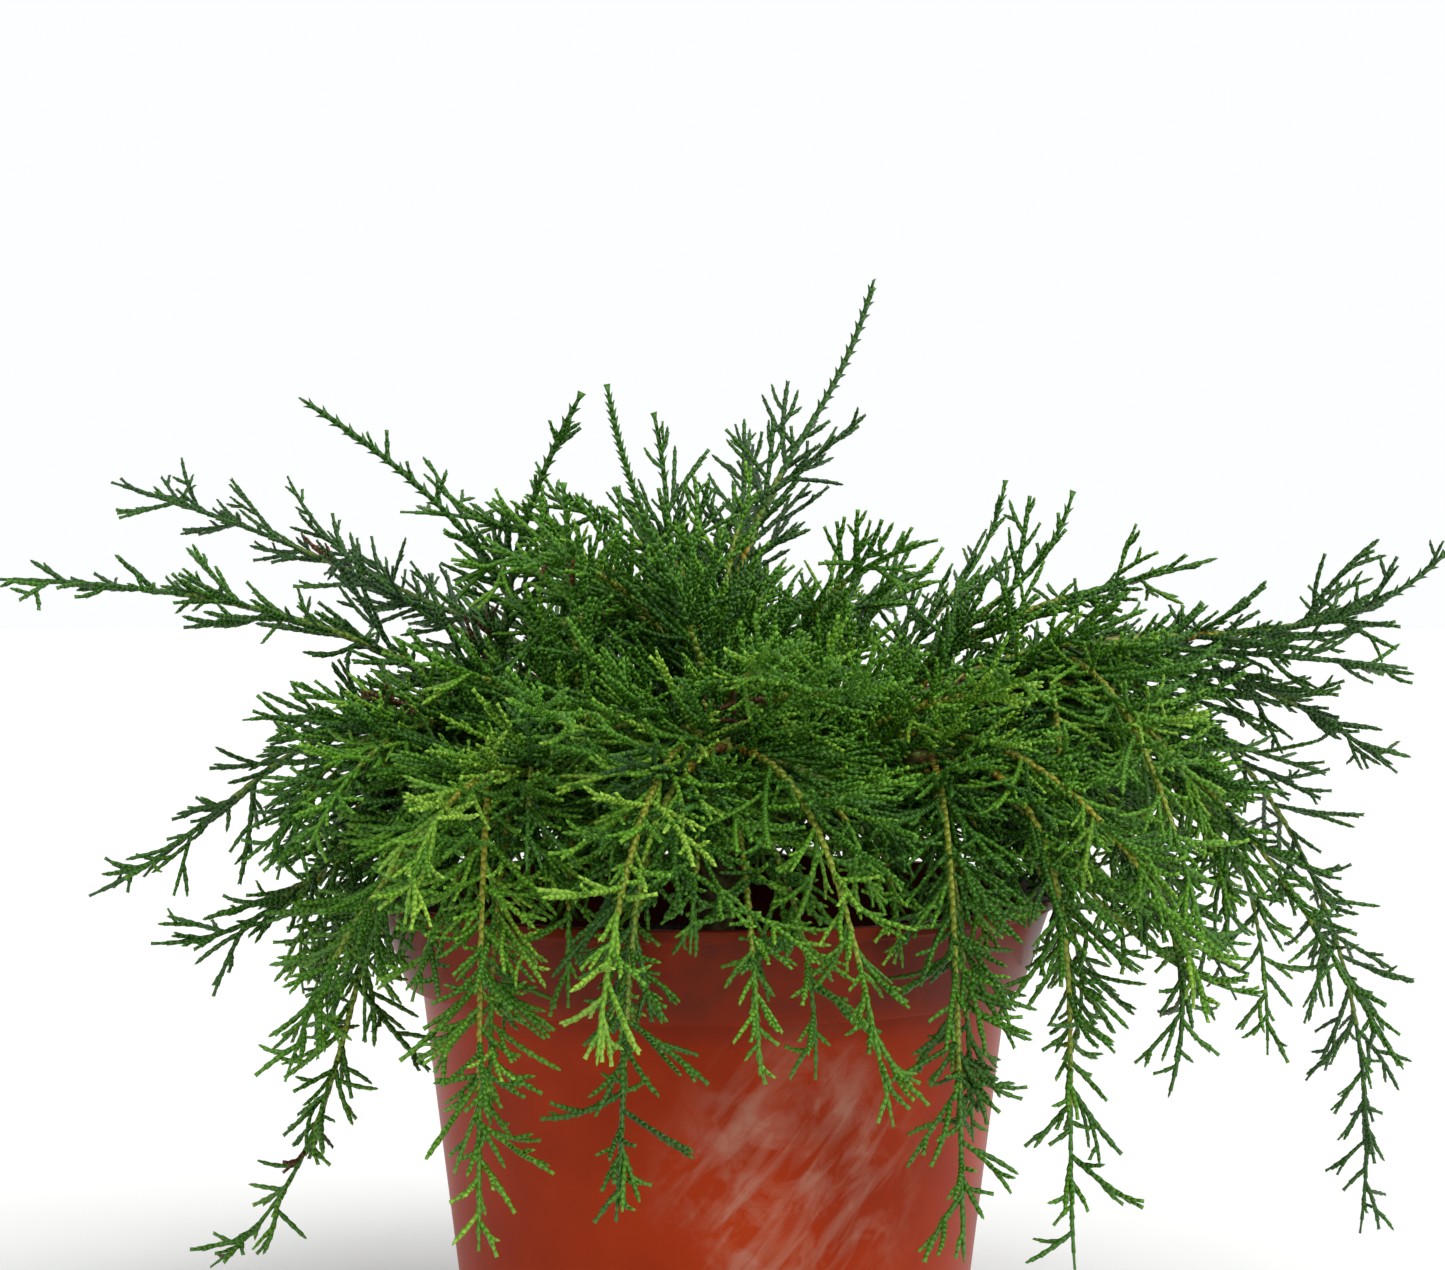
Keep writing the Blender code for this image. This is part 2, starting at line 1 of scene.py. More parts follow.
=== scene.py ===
# %% [markdown]
# # A young Diselma in a nursery pot
#
# Diselma is a dwarf conifer whose leaves are scales, pressed in pairs onto whip-thin twigs.  This
# one is a two litre plant: a brick red plastic pot, a ball of compost, a short woody stem with
# nine limbs, and forty-five shoots that arch out and hang over the rim.
#
# The CAD model gives the sizes and the course of every limb and shoot.  Here each of its solids
# gets a finished piece in the same place.  Metres, +Z up, the pot's axis on Z, its base on z = 0.

# %% Load the CAD frame
import math
import random

import bmesh
import bpy
import numpy as np
from mathutils import Matrix, Vector


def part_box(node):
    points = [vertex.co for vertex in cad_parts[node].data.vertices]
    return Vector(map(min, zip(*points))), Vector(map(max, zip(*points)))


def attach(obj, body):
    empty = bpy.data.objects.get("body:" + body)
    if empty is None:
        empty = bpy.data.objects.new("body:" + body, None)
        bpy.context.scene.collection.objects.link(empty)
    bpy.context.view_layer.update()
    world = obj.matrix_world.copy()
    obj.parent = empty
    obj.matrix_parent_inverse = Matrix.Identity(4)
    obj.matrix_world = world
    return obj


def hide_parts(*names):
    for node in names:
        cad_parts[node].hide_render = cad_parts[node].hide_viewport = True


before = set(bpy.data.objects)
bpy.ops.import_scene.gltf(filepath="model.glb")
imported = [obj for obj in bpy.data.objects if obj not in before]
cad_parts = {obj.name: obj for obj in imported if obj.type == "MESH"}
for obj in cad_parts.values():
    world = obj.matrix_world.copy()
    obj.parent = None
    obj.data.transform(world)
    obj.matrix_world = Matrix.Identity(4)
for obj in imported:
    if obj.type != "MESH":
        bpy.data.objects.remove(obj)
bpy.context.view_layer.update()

MM = 0.001

# %% [markdown]
# ## The sizes that the CAD model is built from
#
# The pot is known from its rim down.  Where a size can be read from a CAD solid it is read from
# there, and the rest repeats the CAD model's own dimensions by name.

# %% Named sizes
POT_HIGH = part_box("pot")[1]
POT_HEIGHT = POT_HIGH.z
RIM_RADIUS = POT_HIGH.x
LIP_HEIGHT = 0.0026
LIP_OVERHANG = 0.0020
COLLAR_HEIGHT = 0.0222
COLLAR_TAPER = 0.0065
COLLAR_STEP = 0.0040
BASE_RADIUS = 0.0590
WALL = 0.0016
BASE_THICKNESS = 0.0022
FIT_GAP = 0.0003        # between the pot and the compost
DRAIN_HOLES = 4
DRAIN_HOLE_RADIUS = 0.006
DRAIN_RING_RADIUS = 0.036

COLLAR_TOP_RADIUS = RIM_RADIUS - LIP_OVERHANG
COLLAR_FOOT_RADIUS = COLLAR_TOP_RADIUS - COLLAR_TAPER
BODY_TOP_RADIUS = COLLAR_FOOT_RADIUS - COLLAR_STEP
STEP_Z = POT_HEIGHT - COLLAR_HEIGHT
LIP_Z = POT_HEIGHT - LIP_HEIGHT

SOIL_TOP_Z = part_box("root_ball")[1].z
SOIL_EDGE_Z = SOIL_TOP_Z - 0.004        # the compost is a low dome
STEM_FOOT_Z = SOIL_TOP_Z - 0.030        # in its socket in the compost
STEM_TOP_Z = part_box("stem")[1].z
STEM_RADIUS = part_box("stem")[1].x
print("pot", round(POT_HEIGHT, 4), "high,", round(2 * RIM_RADIUS, 4), "across its rim")


# %% [markdown]
# ## Helpers for materials and meshes
#
# Every colour is written as an sRGB hex value and turned to linear by one function.  One more
# adds a node with its settings, its values and its links.  A finished mesh goes into the scene
# with one call that also hides the CAD solid it stands for and gives it its material slot.

# %% Colour, node and piece helpers
# places of a colour Mix node's sockets, which share their names with its other kinds
MIX_SHARE, MIX_A, MIX_B, MIX_RESULT = 0, 6, 7, 2


def linear(hex_colour):
    """The linear RGBA colour of an sRGB hex value such as #A8401F."""
    channels = [int(hex_colour[place:place + 2], 16) / 255 for place in (1, 3, 5)]
    return (*[c / 12.92 if c <= 0.04045 else ((c + 0.055) / 1.055) ** 2.4 for c in channels], 1.0)


def add_node(tree, kind, feeds=None, stops=None, **settings):
    """Adds a node: settings are its properties, feeds its sockets' values or links, and stops the
    places and colours of a ramp."""
    node = tree.nodes.new(kind)
    for name, value in settings.items():
        setattr(node, name, value)
    for name, value in (feeds or {}).items():
        if isinstance(value, bpy.types.NodeSocket):
            tree.links.new(value, node.inputs[name])
        else:
            node.inputs[name].default_value = value
    if stops:
        ramp = node.color_ramp
        while len(ramp.elements) < len(stops):
            ramp.elements.new(0.5)
        for element, (place, colour) in zip(ramp.elements, stops):
            element.position = place
            element.color = linear(colour)
    return node


def new_material(name):
    """An empty node material and its tree."""
    material = bpy.data.materials.new(name)
    material.use_nodes = True
    material.node_tree.nodes.clear()
    return material, material.node_tree


def finish_shader(tree, shader):
    """Joins a shader to the material's output."""
    add_node(tree, "ShaderNodeOutputMaterial", {"Surface": shader.outputs[0]})


def piece(name, mesh, material, node=None):
    """Puts a finished mesh into the scene as part of the object."""
    made = bpy.data.objects.new(name, mesh)
    bpy.context.scene.collection.objects.link(made)
    mesh.materials.clear()
    mesh.materials.append(material)
    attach(made, "root")
    if node:
        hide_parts(node)
    return made


def to_mesh(name, shape, smooth_below=None):
    """Turns a bmesh into a mesh.  Edges sharper than smooth_below degrees stay sharp."""
    if smooth_below is not None:
        for face in shape.faces:
            face.smooth = True
        for edge in shape.edges:
            edge.smooth = edge.calc_face_angle(0) < math.radians(smooth_below)
    mesh = bpy.data.meshes.new(name)
    shape.to_mesh(mesh)
    shape.free()
    return mesh


# %% [markdown]
# ## The pot
#
# A nursery pot is injection-moulded polypropylene, 1.6 mm thick: a flat base with drain holes, a
# straight tapering body, a collar that steps out so that empty pots nest, and a small lip.  It
# could be boxes and cylinders joined together, but it is one round shell, so its outline is drawn
# once and spun about the axis.  The mould's edges are then bevelled and the holes cut.

# %% Spin the pot's outline
POT_STEPS = 160
MOULD_ROUND = 0.00035
MOULD_EDGE = 22         # edges sharper than this many degrees are rounded
WELD = 0.00002          # points closer than this are one point


def wall_radius(z):
    """Outside radius of the pot at height z."""
    if z >= STEP_Z:
        share = (z - STEP_Z) / (LIP_Z - STEP_Z)
        return COLLAR_FOOT_RADIUS + (COLLAR_TOP_RADIUS - COLLAR_FOOT_RADIUS) * min(share, 1)
    return BASE_RADIUS + (BODY_TOP_RADIUS - BASE_RADIUS) * z / STEP_Z


def spun(outline, steps):
    """A closed shell spun about Z from (radius, height) points that start and end on the axis."""
    shape = bmesh.new()
    points = [shape.verts.new((radius, 0, height)) for radius, height in outline]
    for a, b in zip(points, points[1:]):
        shape.edges.new((a, b))
    bmesh.ops.spin(shape, geom=shape.verts[:] + shape.edges[:], axis=(0, 0, 1), cent=(0, 0, 0),
                   angle=math.tau, steps=steps, use_merge=True)
    bmesh.ops.remove_doubles(shape, verts=shape.verts, dist=WELD)
    bmesh.ops.recalc_face_normals(shape, faces=shape.faces)
    return shape


def bevel_sharp(shape, degrees, width, segments=2):
    """Rounds every edge whose faces meet at more than the given angle."""
    sharp = [edge for edge in shape.edges if edge.calc_face_angle(0) > math.radians(degrees)]
    bmesh.ops.bevel(shape, geom=sharp, offset=width, offset_type="OFFSET", affect="EDGES",
                    segments=segments, profile=0.5, material=-1, clamp_overlap=True)


inner_step_z = STEP_Z - WALL
pot_outline = [
    (0, BASE_THICKNESS),
    (wall_radius(BASE_THICKNESS) - WALL, BASE_THICKNESS),
    (BODY_TOP_RADIUS - WALL, inner_step_z),
    (COLLAR_FOOT_RADIUS - WALL, STEP_Z),
    (COLLAR_TOP_RADIUS - WALL, POT_HEIGHT),
    (RIM_RADIUS, POT_HEIGHT),
    (RIM_RADIUS - LIP_OVERHANG * 0.2, LIP_Z),
    (COLLAR_TOP_RADIUS, LIP_Z - LIP_HEIGHT * 0.2),
    (COLLAR_FOOT_RADIUS, STEP_Z),
    (BODY_TOP_RADIUS, STEP_Z - WALL * 0.5),
    (BASE_RADIUS + WALL * 0.2, WALL),
    (BASE_RADIUS - WALL, 0),
    (0, 0),
]
pot_shape = spun(pot_outline, POT_STEPS)
bevel_sharp(pot_shape, MOULD_EDGE, MOULD_ROUND)
print("pot shell", len(pot_shape.faces), "faces")

# %% Cut the drain holes
HOLE_SIDES = 32
pot_object = bpy.data.objects.new("pot_blank", to_mesh("pot_blank", pot_shape))
bpy.context.scene.collection.objects.link(pot_object)
cutter_shape = bmesh.new()
for index in range(DRAIN_HOLES):
    turn = math.tau * (index + 0.5) / DRAIN_HOLES
    place = (DRAIN_RING_RADIUS * math.cos(turn), DRAIN_RING_RADIUS * math.sin(turn), 0)
    bmesh.ops.create_cone(cutter_shape, cap_ends=True, segments=HOLE_SIDES, radius1=DRAIN_HOLE_RADIUS,
                          radius2=DRAIN_HOLE_RADIUS, depth=BASE_THICKNESS * 4,
                          matrix=Matrix.Translation(place))
cutter_object = bpy.data.objects.new("drain_cutters", to_mesh("drain_cutters", cutter_shape))
bpy.context.scene.collection.objects.link(cutter_object)
drilled = pot_object.modifiers.new("Drain holes", "BOOLEAN")
drilled.operation = "DIFFERENCE"
drilled.object = cutter_object
bpy.context.view_layer.update()
evaluated = pot_object.evaluated_get(bpy.context.evaluated_depsgraph_get())
pot_cut = bmesh.new()
pot_cut.from_mesh(bpy.data.meshes.new_from_object(evaluated))
bpy.data.objects.remove(pot_object)
bpy.data.objects.remove(cutter_object)
pot_mesh = to_mesh("pot_shell", pot_cut, smooth_below=28)
print("pot with holes", len(pot_mesh.polygons), "faces")

# %% [markdown]
# ### Moulded polypropylene
#
# Thin coloured polypropylene has an IOR near 1.49 and a roughness near 0.4.  This pot is old and
# dusty, which takes most of its sheen away, so its specular level is low.  Hard water has dried on
# it in pale smears that were wiped with a wet hand: faint, leaning streaks a few millimetres wide,
# mostly on the front.  The collar is painted browner than the body in patches: painted shade where
# the foliage shades it.

# %% Pot material
plastic, tree = new_material("moulded_brick_red_polypropylene")
place = add_node(tree, "ShaderNodeTexCoord").outputs["Object"]
# cloudy tone, patches about 40 mm across
clouds = add_node(tree, "ShaderNodeTexNoise", {"Vector": place, "Scale": 25.0, "Detail": 3.0})
tone = add_node(tree, "ShaderNodeValToRGB", {"Fac": clouds.outputs["Fac"]},
                stops=[(0.32, "#862606"), (0.55, "#992E09"), (0.74, "#A6360D")])
# painted shade of the foliage on the collar: browner above its foot, in patches about 12 mm across
height = add_node(tree, "ShaderNodeSeparateXYZ", {"Vector": place})
collar = add_node(tree, "ShaderNodeMapRange", {
    "Value": height.outputs["Z"], "From Min": STEP_Z - 0.006, "From Max": STEP_Z + 0.005,
    "To Min": 0.0, "To Max": 1.0})
collar_shade_noise = add_node(tree, "ShaderNodeTexNoise", {
    "Vector": place, "Scale": 85.0, "Detail": 5.0, "Roughness": 0.65})
collar_shade_patches = add_node(tree, "ShaderNodeMapRange", {
    "Value": collar_shade_noise.outputs["Fac"], "From Min": 0.36, "From Max": 0.66, "To Min": 0.55, "To Max": 0.95})
painted_collar_shade = add_node(tree, "ShaderNodeMath", {0: collar.outputs[0], 1: collar_shade_patches.outputs[0]},
                  operation="MULTIPLY")
# the collar's painted shade mixed into the plastic's colour
with_collar_shade = add_node(tree, "ShaderNodeMix", {
    MIX_SHARE: painted_collar_shade.outputs[0], MIX_A: tone.outputs["Color"], MIX_B: linear("#5C2417")},
    data_type="RGBA")
# wiped bands: 4 mm across and 22 mm long, leaning to the right
leaning = add_node(tree, "ShaderNodeMapping", {
    "Vector": place, "Rotation": (0.0, math.radians(-52), 0.0), "Scale": (0.022, 0.010, 0.0042)},
    vector_type="TEXTURE")
bent = add_node(tree, "ShaderNodeTexNoise", {
    "Vector": leaning.outputs[0], "Scale": 1.0, "Detail": 3.0, "Roughness": 0.55, "Distortion": 0.5})
bands = add_node(tree, "ShaderNodeMapRange", {
    "Value": bent.outputs["Fac"], "From Min": 0.47, "From Max": 0.72, "To Min": 0.0, "To Max": 0.8})
# dried clouds about 12 mm across
drying = add_node(tree, "ShaderNodeTexNoise", {
    "Vector": place, "Scale": 80.0, "Detail": 5.0, "Roughness": 0.62, "Distortion": 0.4})
dried = add_node(tree, "ShaderNodeMapRange", {
    "Value": drying.outputs["Fac"], "From Min": 0.48, "From Max": 0.70, "To Min": 0.0, "To Max": 0.75})
both = add_node(tree, "ShaderNodeMath", {0: bands.outputs[0], 1: dried.outputs[0]},
                operation="ADD", use_clamp=True)
# where the hand wiped: a patch 70 mm wide on the front, a little right of the middle
PATCH_PLACE = (0.019, -0.070, 0.070)
PATCH_REACH = (0.036, 0.060, 0.040)
patch_place = add_node(tree, "ShaderNodeMapping", {
    "Vector": place, "Location": PATCH_PLACE, "Scale": PATCH_REACH}, vector_type="TEXTURE")
patch = add_node(tree, "ShaderNodeTexGradient", {"Vector": patch_place.outputs[0]},
                 gradient_type="SPHERICAL")
patch_edge = add_node(tree, "ShaderNodeMapRange", {
    "Value": patch.outputs["Fac"], "From Min": 0.0, "From Max": 0.5, "To Min": 0.0, "To Max": 0.36})
lime = add_node(tree, "ShaderNodeMath", {0: both.outputs[0], 1: patch_edge.outputs[0]},
                operation="MULTIPLY")
limed = add_node(tree, "ShaderNodeMix", {
    MIX_SHARE: lime.outputs[0], MIX_A: with_collar_shade.outputs[MIX_RESULT], MIX_B: linear("#B79A86")},
    data_type="RGBA")
shader = add_node(tree, "ShaderNodeBsdfPrincipled", {
    "Base Color": limed.outputs[MIX_RESULT], "Roughness": 0.38, "IOR": 1.49,
    "Specular IOR Level": 0.08})
finish_shader(tree, shader)
piece("pot_shell", pot_mesh, plastic, "pot")
print(plastic.name)

# %% [markdown]
# ## The compost
#
# The root ball is peaty compost, watered down into a low dome.  A turned dome alone would look
# like cake, so its top is finely divided and pushed up and down by a seeded noise, and loose
# crumbs and bits of bark lie on it.  Only what can be seen needs this: the sides of the ball
# touch the pot.

# %% Spin and roughen the root ball
SOIL_STEPS = 120
SOIL_RINGS = 34
SOIL_ROUND = 0.003      # how far below the dome's edge the side of the ball ends
SOIL_RIM = 0.97         # the dome's outermost ring, as a share of the ball's radius
DOME_POWER = 2.2        # how flat the dome's middle is
CRUMB_HEIGHT = 0.0011
CRUMB_LIFT = 0.9        # how far the noise moves the top, as a share of a crumb's height


def dome_z(share):
    """Height of the compost's top at a share of its radius."""
    return SOIL_TOP_Z - (SOIL_TOP_Z - SOIL_EDGE_Z) * share ** DOME_POWER - CRUMB_HEIGHT


soil_foot_z = BASE_THICKNESS + FIT_GAP
soil_edge = wall_radius(SOIL_EDGE_Z) - WALL - FIT_GAP
soil_outline = [(0, soil_foot_z), (wall_radius(soil_foot_z) - WALL - 2 * FIT_GAP, soil_foot_z),
                (BODY_TOP_RADIUS - WALL - 3 * FIT_GAP, inner_step_z - 3 * FIT_GAP),
                (soil_edge - 2 * FIT_GAP, STEP_Z + 3 * FIT_GAP), (soil_edge, SOIL_EDGE_Z - SOIL_ROUND)]
for ring in range(1, SOIL_RINGS + 1):
    share = 1 - ring / SOIL_RINGS
    soil_outline.append((soil_edge * min(share, SOIL_RIM), dome_z(share)))
soil_shape = spun(soil_outline, SOIL_STEPS)
rough = random.Random(3)
rough_above, rough_within = SOIL_EDGE_Z - 0.0028, soil_edge - 0.001
for vertex in soil_shape.verts:
    if vertex.co.z > rough_above and math.hypot(vertex.co.x, vertex.co.y) < rough_within:
        vertex.co.z += rough.uniform(-1, 1) * CRUMB_HEIGHT * CRUMB_LIFT
print("root ball", len(soil_shape.faces), "faces")

# %% Scatter crumbs and bark on it
CRUMBS = 900
CRUMB_ROOM = 0.004                  # bare ring along the pot's wall
CRUMB_SIZE = (0.0006, 0.0016)       # the least radius, and how much more the largest have
for index in range(CRUMBS):
    turn = rough.uniform(0, math.tau)
    reach = (soil_edge - CRUMB_ROOM) * math.sqrt(rough.uniform(0.012, 1))
    size = CRUMB_SIZE[0] + CRUMB_SIZE[1] * rough.random() ** 3
    crumb = bmesh.ops.create_icosphere(soil_shape, subdivisions=1, radius=size)["verts"]
    flat = Vector((rough.uniform(0.6, 1.5), rough.uniform(0.6, 1.2), rough.uniform(0.35, 0.8)))
    bmesh.ops.scale(soil_shape, vec=flat, verts=crumb)
    bmesh.ops.rotate(soil_shape, verts=crumb, cent=(0, 0, 0),
                     matrix=Matrix.Rotation(rough.uniform(0, math.tau), 3, "Z"))
    bmesh.ops.translate(soil_shape, verts=crumb, vec=(
        reach * math.cos(turn), reach * math.sin(turn), dome_z(reach / soil_edge) + size * 0.25))
soil_mesh = to_mesh("compost_ball", soil_shape, smooth_below=50)
print("compost with crumbs", len(soil_mesh.polygons), "faces")

# %% [markdown]
# ### Peaty compost
#
# Damp peat is nearly black and quite matt, with paler brown fibres and crumbs a millimetre or two
# across.  One noise of that size gives both the colours and the small bumps.

# %% Compost material
peat, tree = new_material("damp_peat_compost")
place = add_node(tree, "ShaderNodeTexCoord").outputs["Object"]
grains = add_node(tree, "ShaderNodeTexNoise", {"Vector": place, "Scale": 620.0, "Detail": 3.0})
tone = add_node(tree, "ShaderNodeValToRGB", {"Fac": grains.outputs["Fac"]},
                stops=[(0.35, "#1C130D"), (0.55, "#33231A"), (0.72, "#5C4330")])
lumps = add_node(tree, "ShaderNodeBump", {
    "Height": grains.outputs["Fac"], "Distance": 0.0006, "Strength": 0.7})
shader = add_node(tree, "ShaderNodeBsdfPrincipled", {
    "Base Color": tone.outputs["Color"], "Roughness": 0.92, "Normal": lumps.outputs["Normal"]})
finish_shader(tree, shader)
piece("compost_ball", soil_mesh, peat, "root_ball")

# %% [markdown]
# ## How the limbs and shoots run
#
# Every limb leaves the stem at a slope, arches over and ends at a place known by its azimuth, how
# far it lies outside the rim and how high it lies over it.  Every shoot does the same from its
# limb.  A cubic curve with two handles is what such an arch is, and these rows are the CAD
# model's own, so each finished piece follows its solid.

# %% The plant's rows
FIRST_FORK = 0.010
FORK_SPACING = 0.0028
FORK_PLACES, FORK_TURN = 8, 3       # the limbs take every third of eight forks in turn
HANDLE = 0.40                       # length of a curve's handles, as a share of its chord
CURVE_SAMPLES = 400

# name: azimuth, beyond the rim (mm), above the rim (mm), first slope, last slope (degrees)
LIMBS = {
    "right": (3, 30, 62, 58, 2),
    "front_right": (-40, -12, 36, 42, 2),
    "front": (-88, -12, 40, 48, 4),
    "front_left": (-135, -14, 38, 42, 2),
    "left": (178, -12, 44, 50, 8),
    "back_left": (128, -8, 46, 50, 10),
    "back": (78, -10, 46, 52, 10),
    "back_right": (33, 6, 50, 50, 6),
    "centre": (60, -76, 72, 86, 80),
}

# name: limb, place along it, azimuth, beyond, above, first slope, last slope, and two looks: its
# tone (0 deep blue-green, 1 bright yellow-green) and how barbed its tip is (0 to 1)
# The tones are higher on the front shoots and lower on the back ones: partly each shoot's own colour,
# partly painted light on the front and painted shade at the back.
SHOOTS = {
    "left_reaching": ("left", 0.62, -167, 87, 77, 32, 2, 0.24, 0.1),
    "left_short": ("left", 0.50, -170, 30, 43, 0, -6, 0.40, 0.1),
    "left_sweeping": ("left", 1.00, 176, 73, -3, -4, -24, 0.24, 0.1),
    "left_low": ("left", 0.80, -171, 52, -11, -24, 2, 0.28, 0.1),
    "left_rising": ("left", 0.44, -169, 16, 120, 66, 32, 0.30, 0.8),
    "left_erect": ("left", 0.77, -152, -48, 121, 90, 52, 0.34, 0.8),
    "back_left_reaching": ("back_left", 0.80, 155, 98, 103, 32, 16, 0.20, 0.2),
    "back_left_erect": ("back_left", 0.62, 149, 51, 104, 48, 62, 0.22, 0.3),
    "back_left_hanging": ("back_left", 1.00, 138, 44, -34, 4, -78, 0.30, 0.0),
    "crown_leader": ("centre", 1.00, 50, -20, 155, 70, 68, 0.26, 0.9),
    "crown_back": ("centre", 0.72, 84, 6, 118, 48, 40, 0.30, 0.3),
    "crown_left": ("centre", 0.55, 128, -60, 118, 40, 74, 0.36, 0.5),
    "crown_front": ("front", 0.52, -119, -34, 121, 84, 80, 0.36, 0.9),
    "crown_front_short": ("front_left", 0.66, -122, -20, 98, 66, 62, 0.50, 0.6),
    "crown_right": ("centre", 0.36, -44, -14, 86, 40, 8, 0.52, 0.2),
    "back_right_erect": ("back_right", 0.60, 38, 14, 102, 62, 74, 0.40, 0.5),
    "back_right_hanging": ("back_right", 1.00, 19, 100, -100, 12, -98, 0.24, 0.0),
    "back_right_low": ("back_right", 0.84, 22, 66, -36, -8, -62, 0.24, 0.0),
    "back_arching": ("back", 0.74, 66, 44, 66, 34, -20, 0.34, 0.1),
    "back_hanging": ("back", 1.00, 84, 40, -40, 4, -76, 0.36, 0.0),
    "back_low": ("back", 0.50, 108, 42, 14, 12, -48, 0.40, 0.0),
    "back_right_drooping": ("back_right", 0.42, 52, 50, 2, 14, -60, 0.36, 0.0),
    "back_left_arching": ("back_left", 0.42, 116, 36, 58, 36, -12, 0.34, 0.1),
    "right_reaching": ("right", 1.00, 6, 103, 84, 6, 44, 0.24, 0.5),
    "right_level": ("right", 0.88, 15, 105, 53, -4, -6, 0.26, 0.2),
    "right_falling": ("right", 0.74, 17, 106, 25, 0, -34, 0.26, 0.1),
    "right_drooping": ("right", 0.62, -9, 82, -40, -6, -58, 0.36, 0.0),
    "right_erect": ("right", 0.52, 12, 8, 98, 66, 74, 0.42, 0.5),
    "right_rising": ("right", 0.39, 16, 51, 82, 50, 14, 0.46, 0.3),
    "front_right_spreading": ("front_right", 0.80, -14, 48, -22, -12, -12, 0.58, 0.0),
    "front_right_arching": ("front_right", 0.59, -39, 54, -17, 42, -72, 0.70, 0.0),
    "front_right_hanging": ("front_right", 1.00, -43, 25, -76, -8, -84, 0.46, 0.0),
    "front_right_inner": ("front_right", 0.90, -62, 29, -68, -4, -78, 0.44, 0.0),
    "front_right_rising": ("front_right", 0.36, -48, 28, 58, 44, 16, 0.66, 0.1),
    "front_hanging_right": ("front", 0.86, -72, 36, -36, 2, -70, 0.60, 0.0),
    "front_hanging": ("front", 1.00, -101, 23, -58, -8, -82, 0.34, 0.0),
    "front_bright": ("front", 0.66, -100, 50, -20, 22, -74, 0.80, 0.0),
    "front_rising_left": ("front", 0.41, -110, 38, 52, 32, 14, 0.62, 0.1),
    "front_rising": ("front", 0.33, -84, 26, 64, 58, 22, 0.64, 0.1),
    "front_rising_right": ("front", 0.56, -72, 34, 56, 40, 12, 0.58, 0.1),
    "front_left_hanging": ("front_left", 1.00, -117, 26, -66, -2, -86, 0.66, 0.0),
    "front_left_falling": ("front_left", 0.88, -164, 39, -86, -18, -36, 0.46, 0.0),
    "front_left_bright": ("front_left", 0.54, -120, 44, 6, 10, -76, 0.82, 0.0),
    "front_left_rising": ("front_left", 0.40, -138, 12, 64, 62, 26, 0.54, 0.1),
    "front_left_outer": ("front_left", 0.73, -142, 36, -34, -12, -70, 0.56, 0.0),
}


def sloped(heading, degrees):
    """The level heading tilted up by a slope."""
    slope = math.radians(degrees)
    return heading * math.cos(slope) + Vector((0, 0, math.sin(slope)))


def end_point(azimuth, beyond, above):
    """An end, from its azimuth, its distance outside the rim and its height over the rim."""
    turn = math.radians(azimuth)
    reach = RIM_RADIUS + beyond * MM
    return Vector((reach * math.cos(turn), reach * math.sin(turn), POT_HEIGHT + above * MM))


def arch(start, end, rise, finish, step):
    """Evenly spaced points, a step apart, on the cubic curve from start to end, as an array."""
    heading = Vector((end.x - start.x, end.y - start.y, 0)).normalized()
    handle = HANDLE * (end - start).length
    corners = np.array([start, start + sloped(heading, rise) * handle,
                        end - sloped(heading, finish) * handle, end])
    t = np.linspace(0, 1, CURVE_SAMPLES)[:, None]
    weights = np.hstack([(1 - t) ** 3, 3 * t * (1 - t) ** 2, 3 * t * t * (1 - t), t ** 3])
    return even_steps(weights @ corners, step)


def even_steps(points, step):
    """The same path with evenly spaced points."""
    run = np.concatenate([[0], np.cumsum(np.linalg.norm(np.diff(points, axis=0), axis=1))])
    places = np.linspace(0, run[-1], max(2, round(run[-1] / step)) + 1)
    return np.stack([np.interp(places, run, points[:, axis]) for axis in range(3)], axis=1)


LIMB_STEP = 0.0025
limb_paths = {}
for order, (name, (azimuth, beyond, above, rise, finish)) in enumerate(LIMBS.items()):
    fork_z = SOIL_TOP_Z + FIRST_FORK + FORK_SPACING * (order * FORK_TURN % FORK_PLACES)
    if name == "centre":
        fork_z = STEM_TOP_Z
    limb_paths[name] = arch(Vector((0, 0, fork_z)), end_point(azimuth, beyond, above), rise, finish,
                            LIMB_STEP)
print(len(limb_paths), "limbs,", len(SHOOTS), "shoots")

# %% [markdown]
# ## The stem and the limbs
#
# Under the foliage the wood is grey-brown, thin and a little crooked, with rings where old scale
# leaves fell.  A ring of edges pushed along the path makes each one: it is extruded, moved to the
# next point, turned to the path and swollen a little at every old leaf scar.

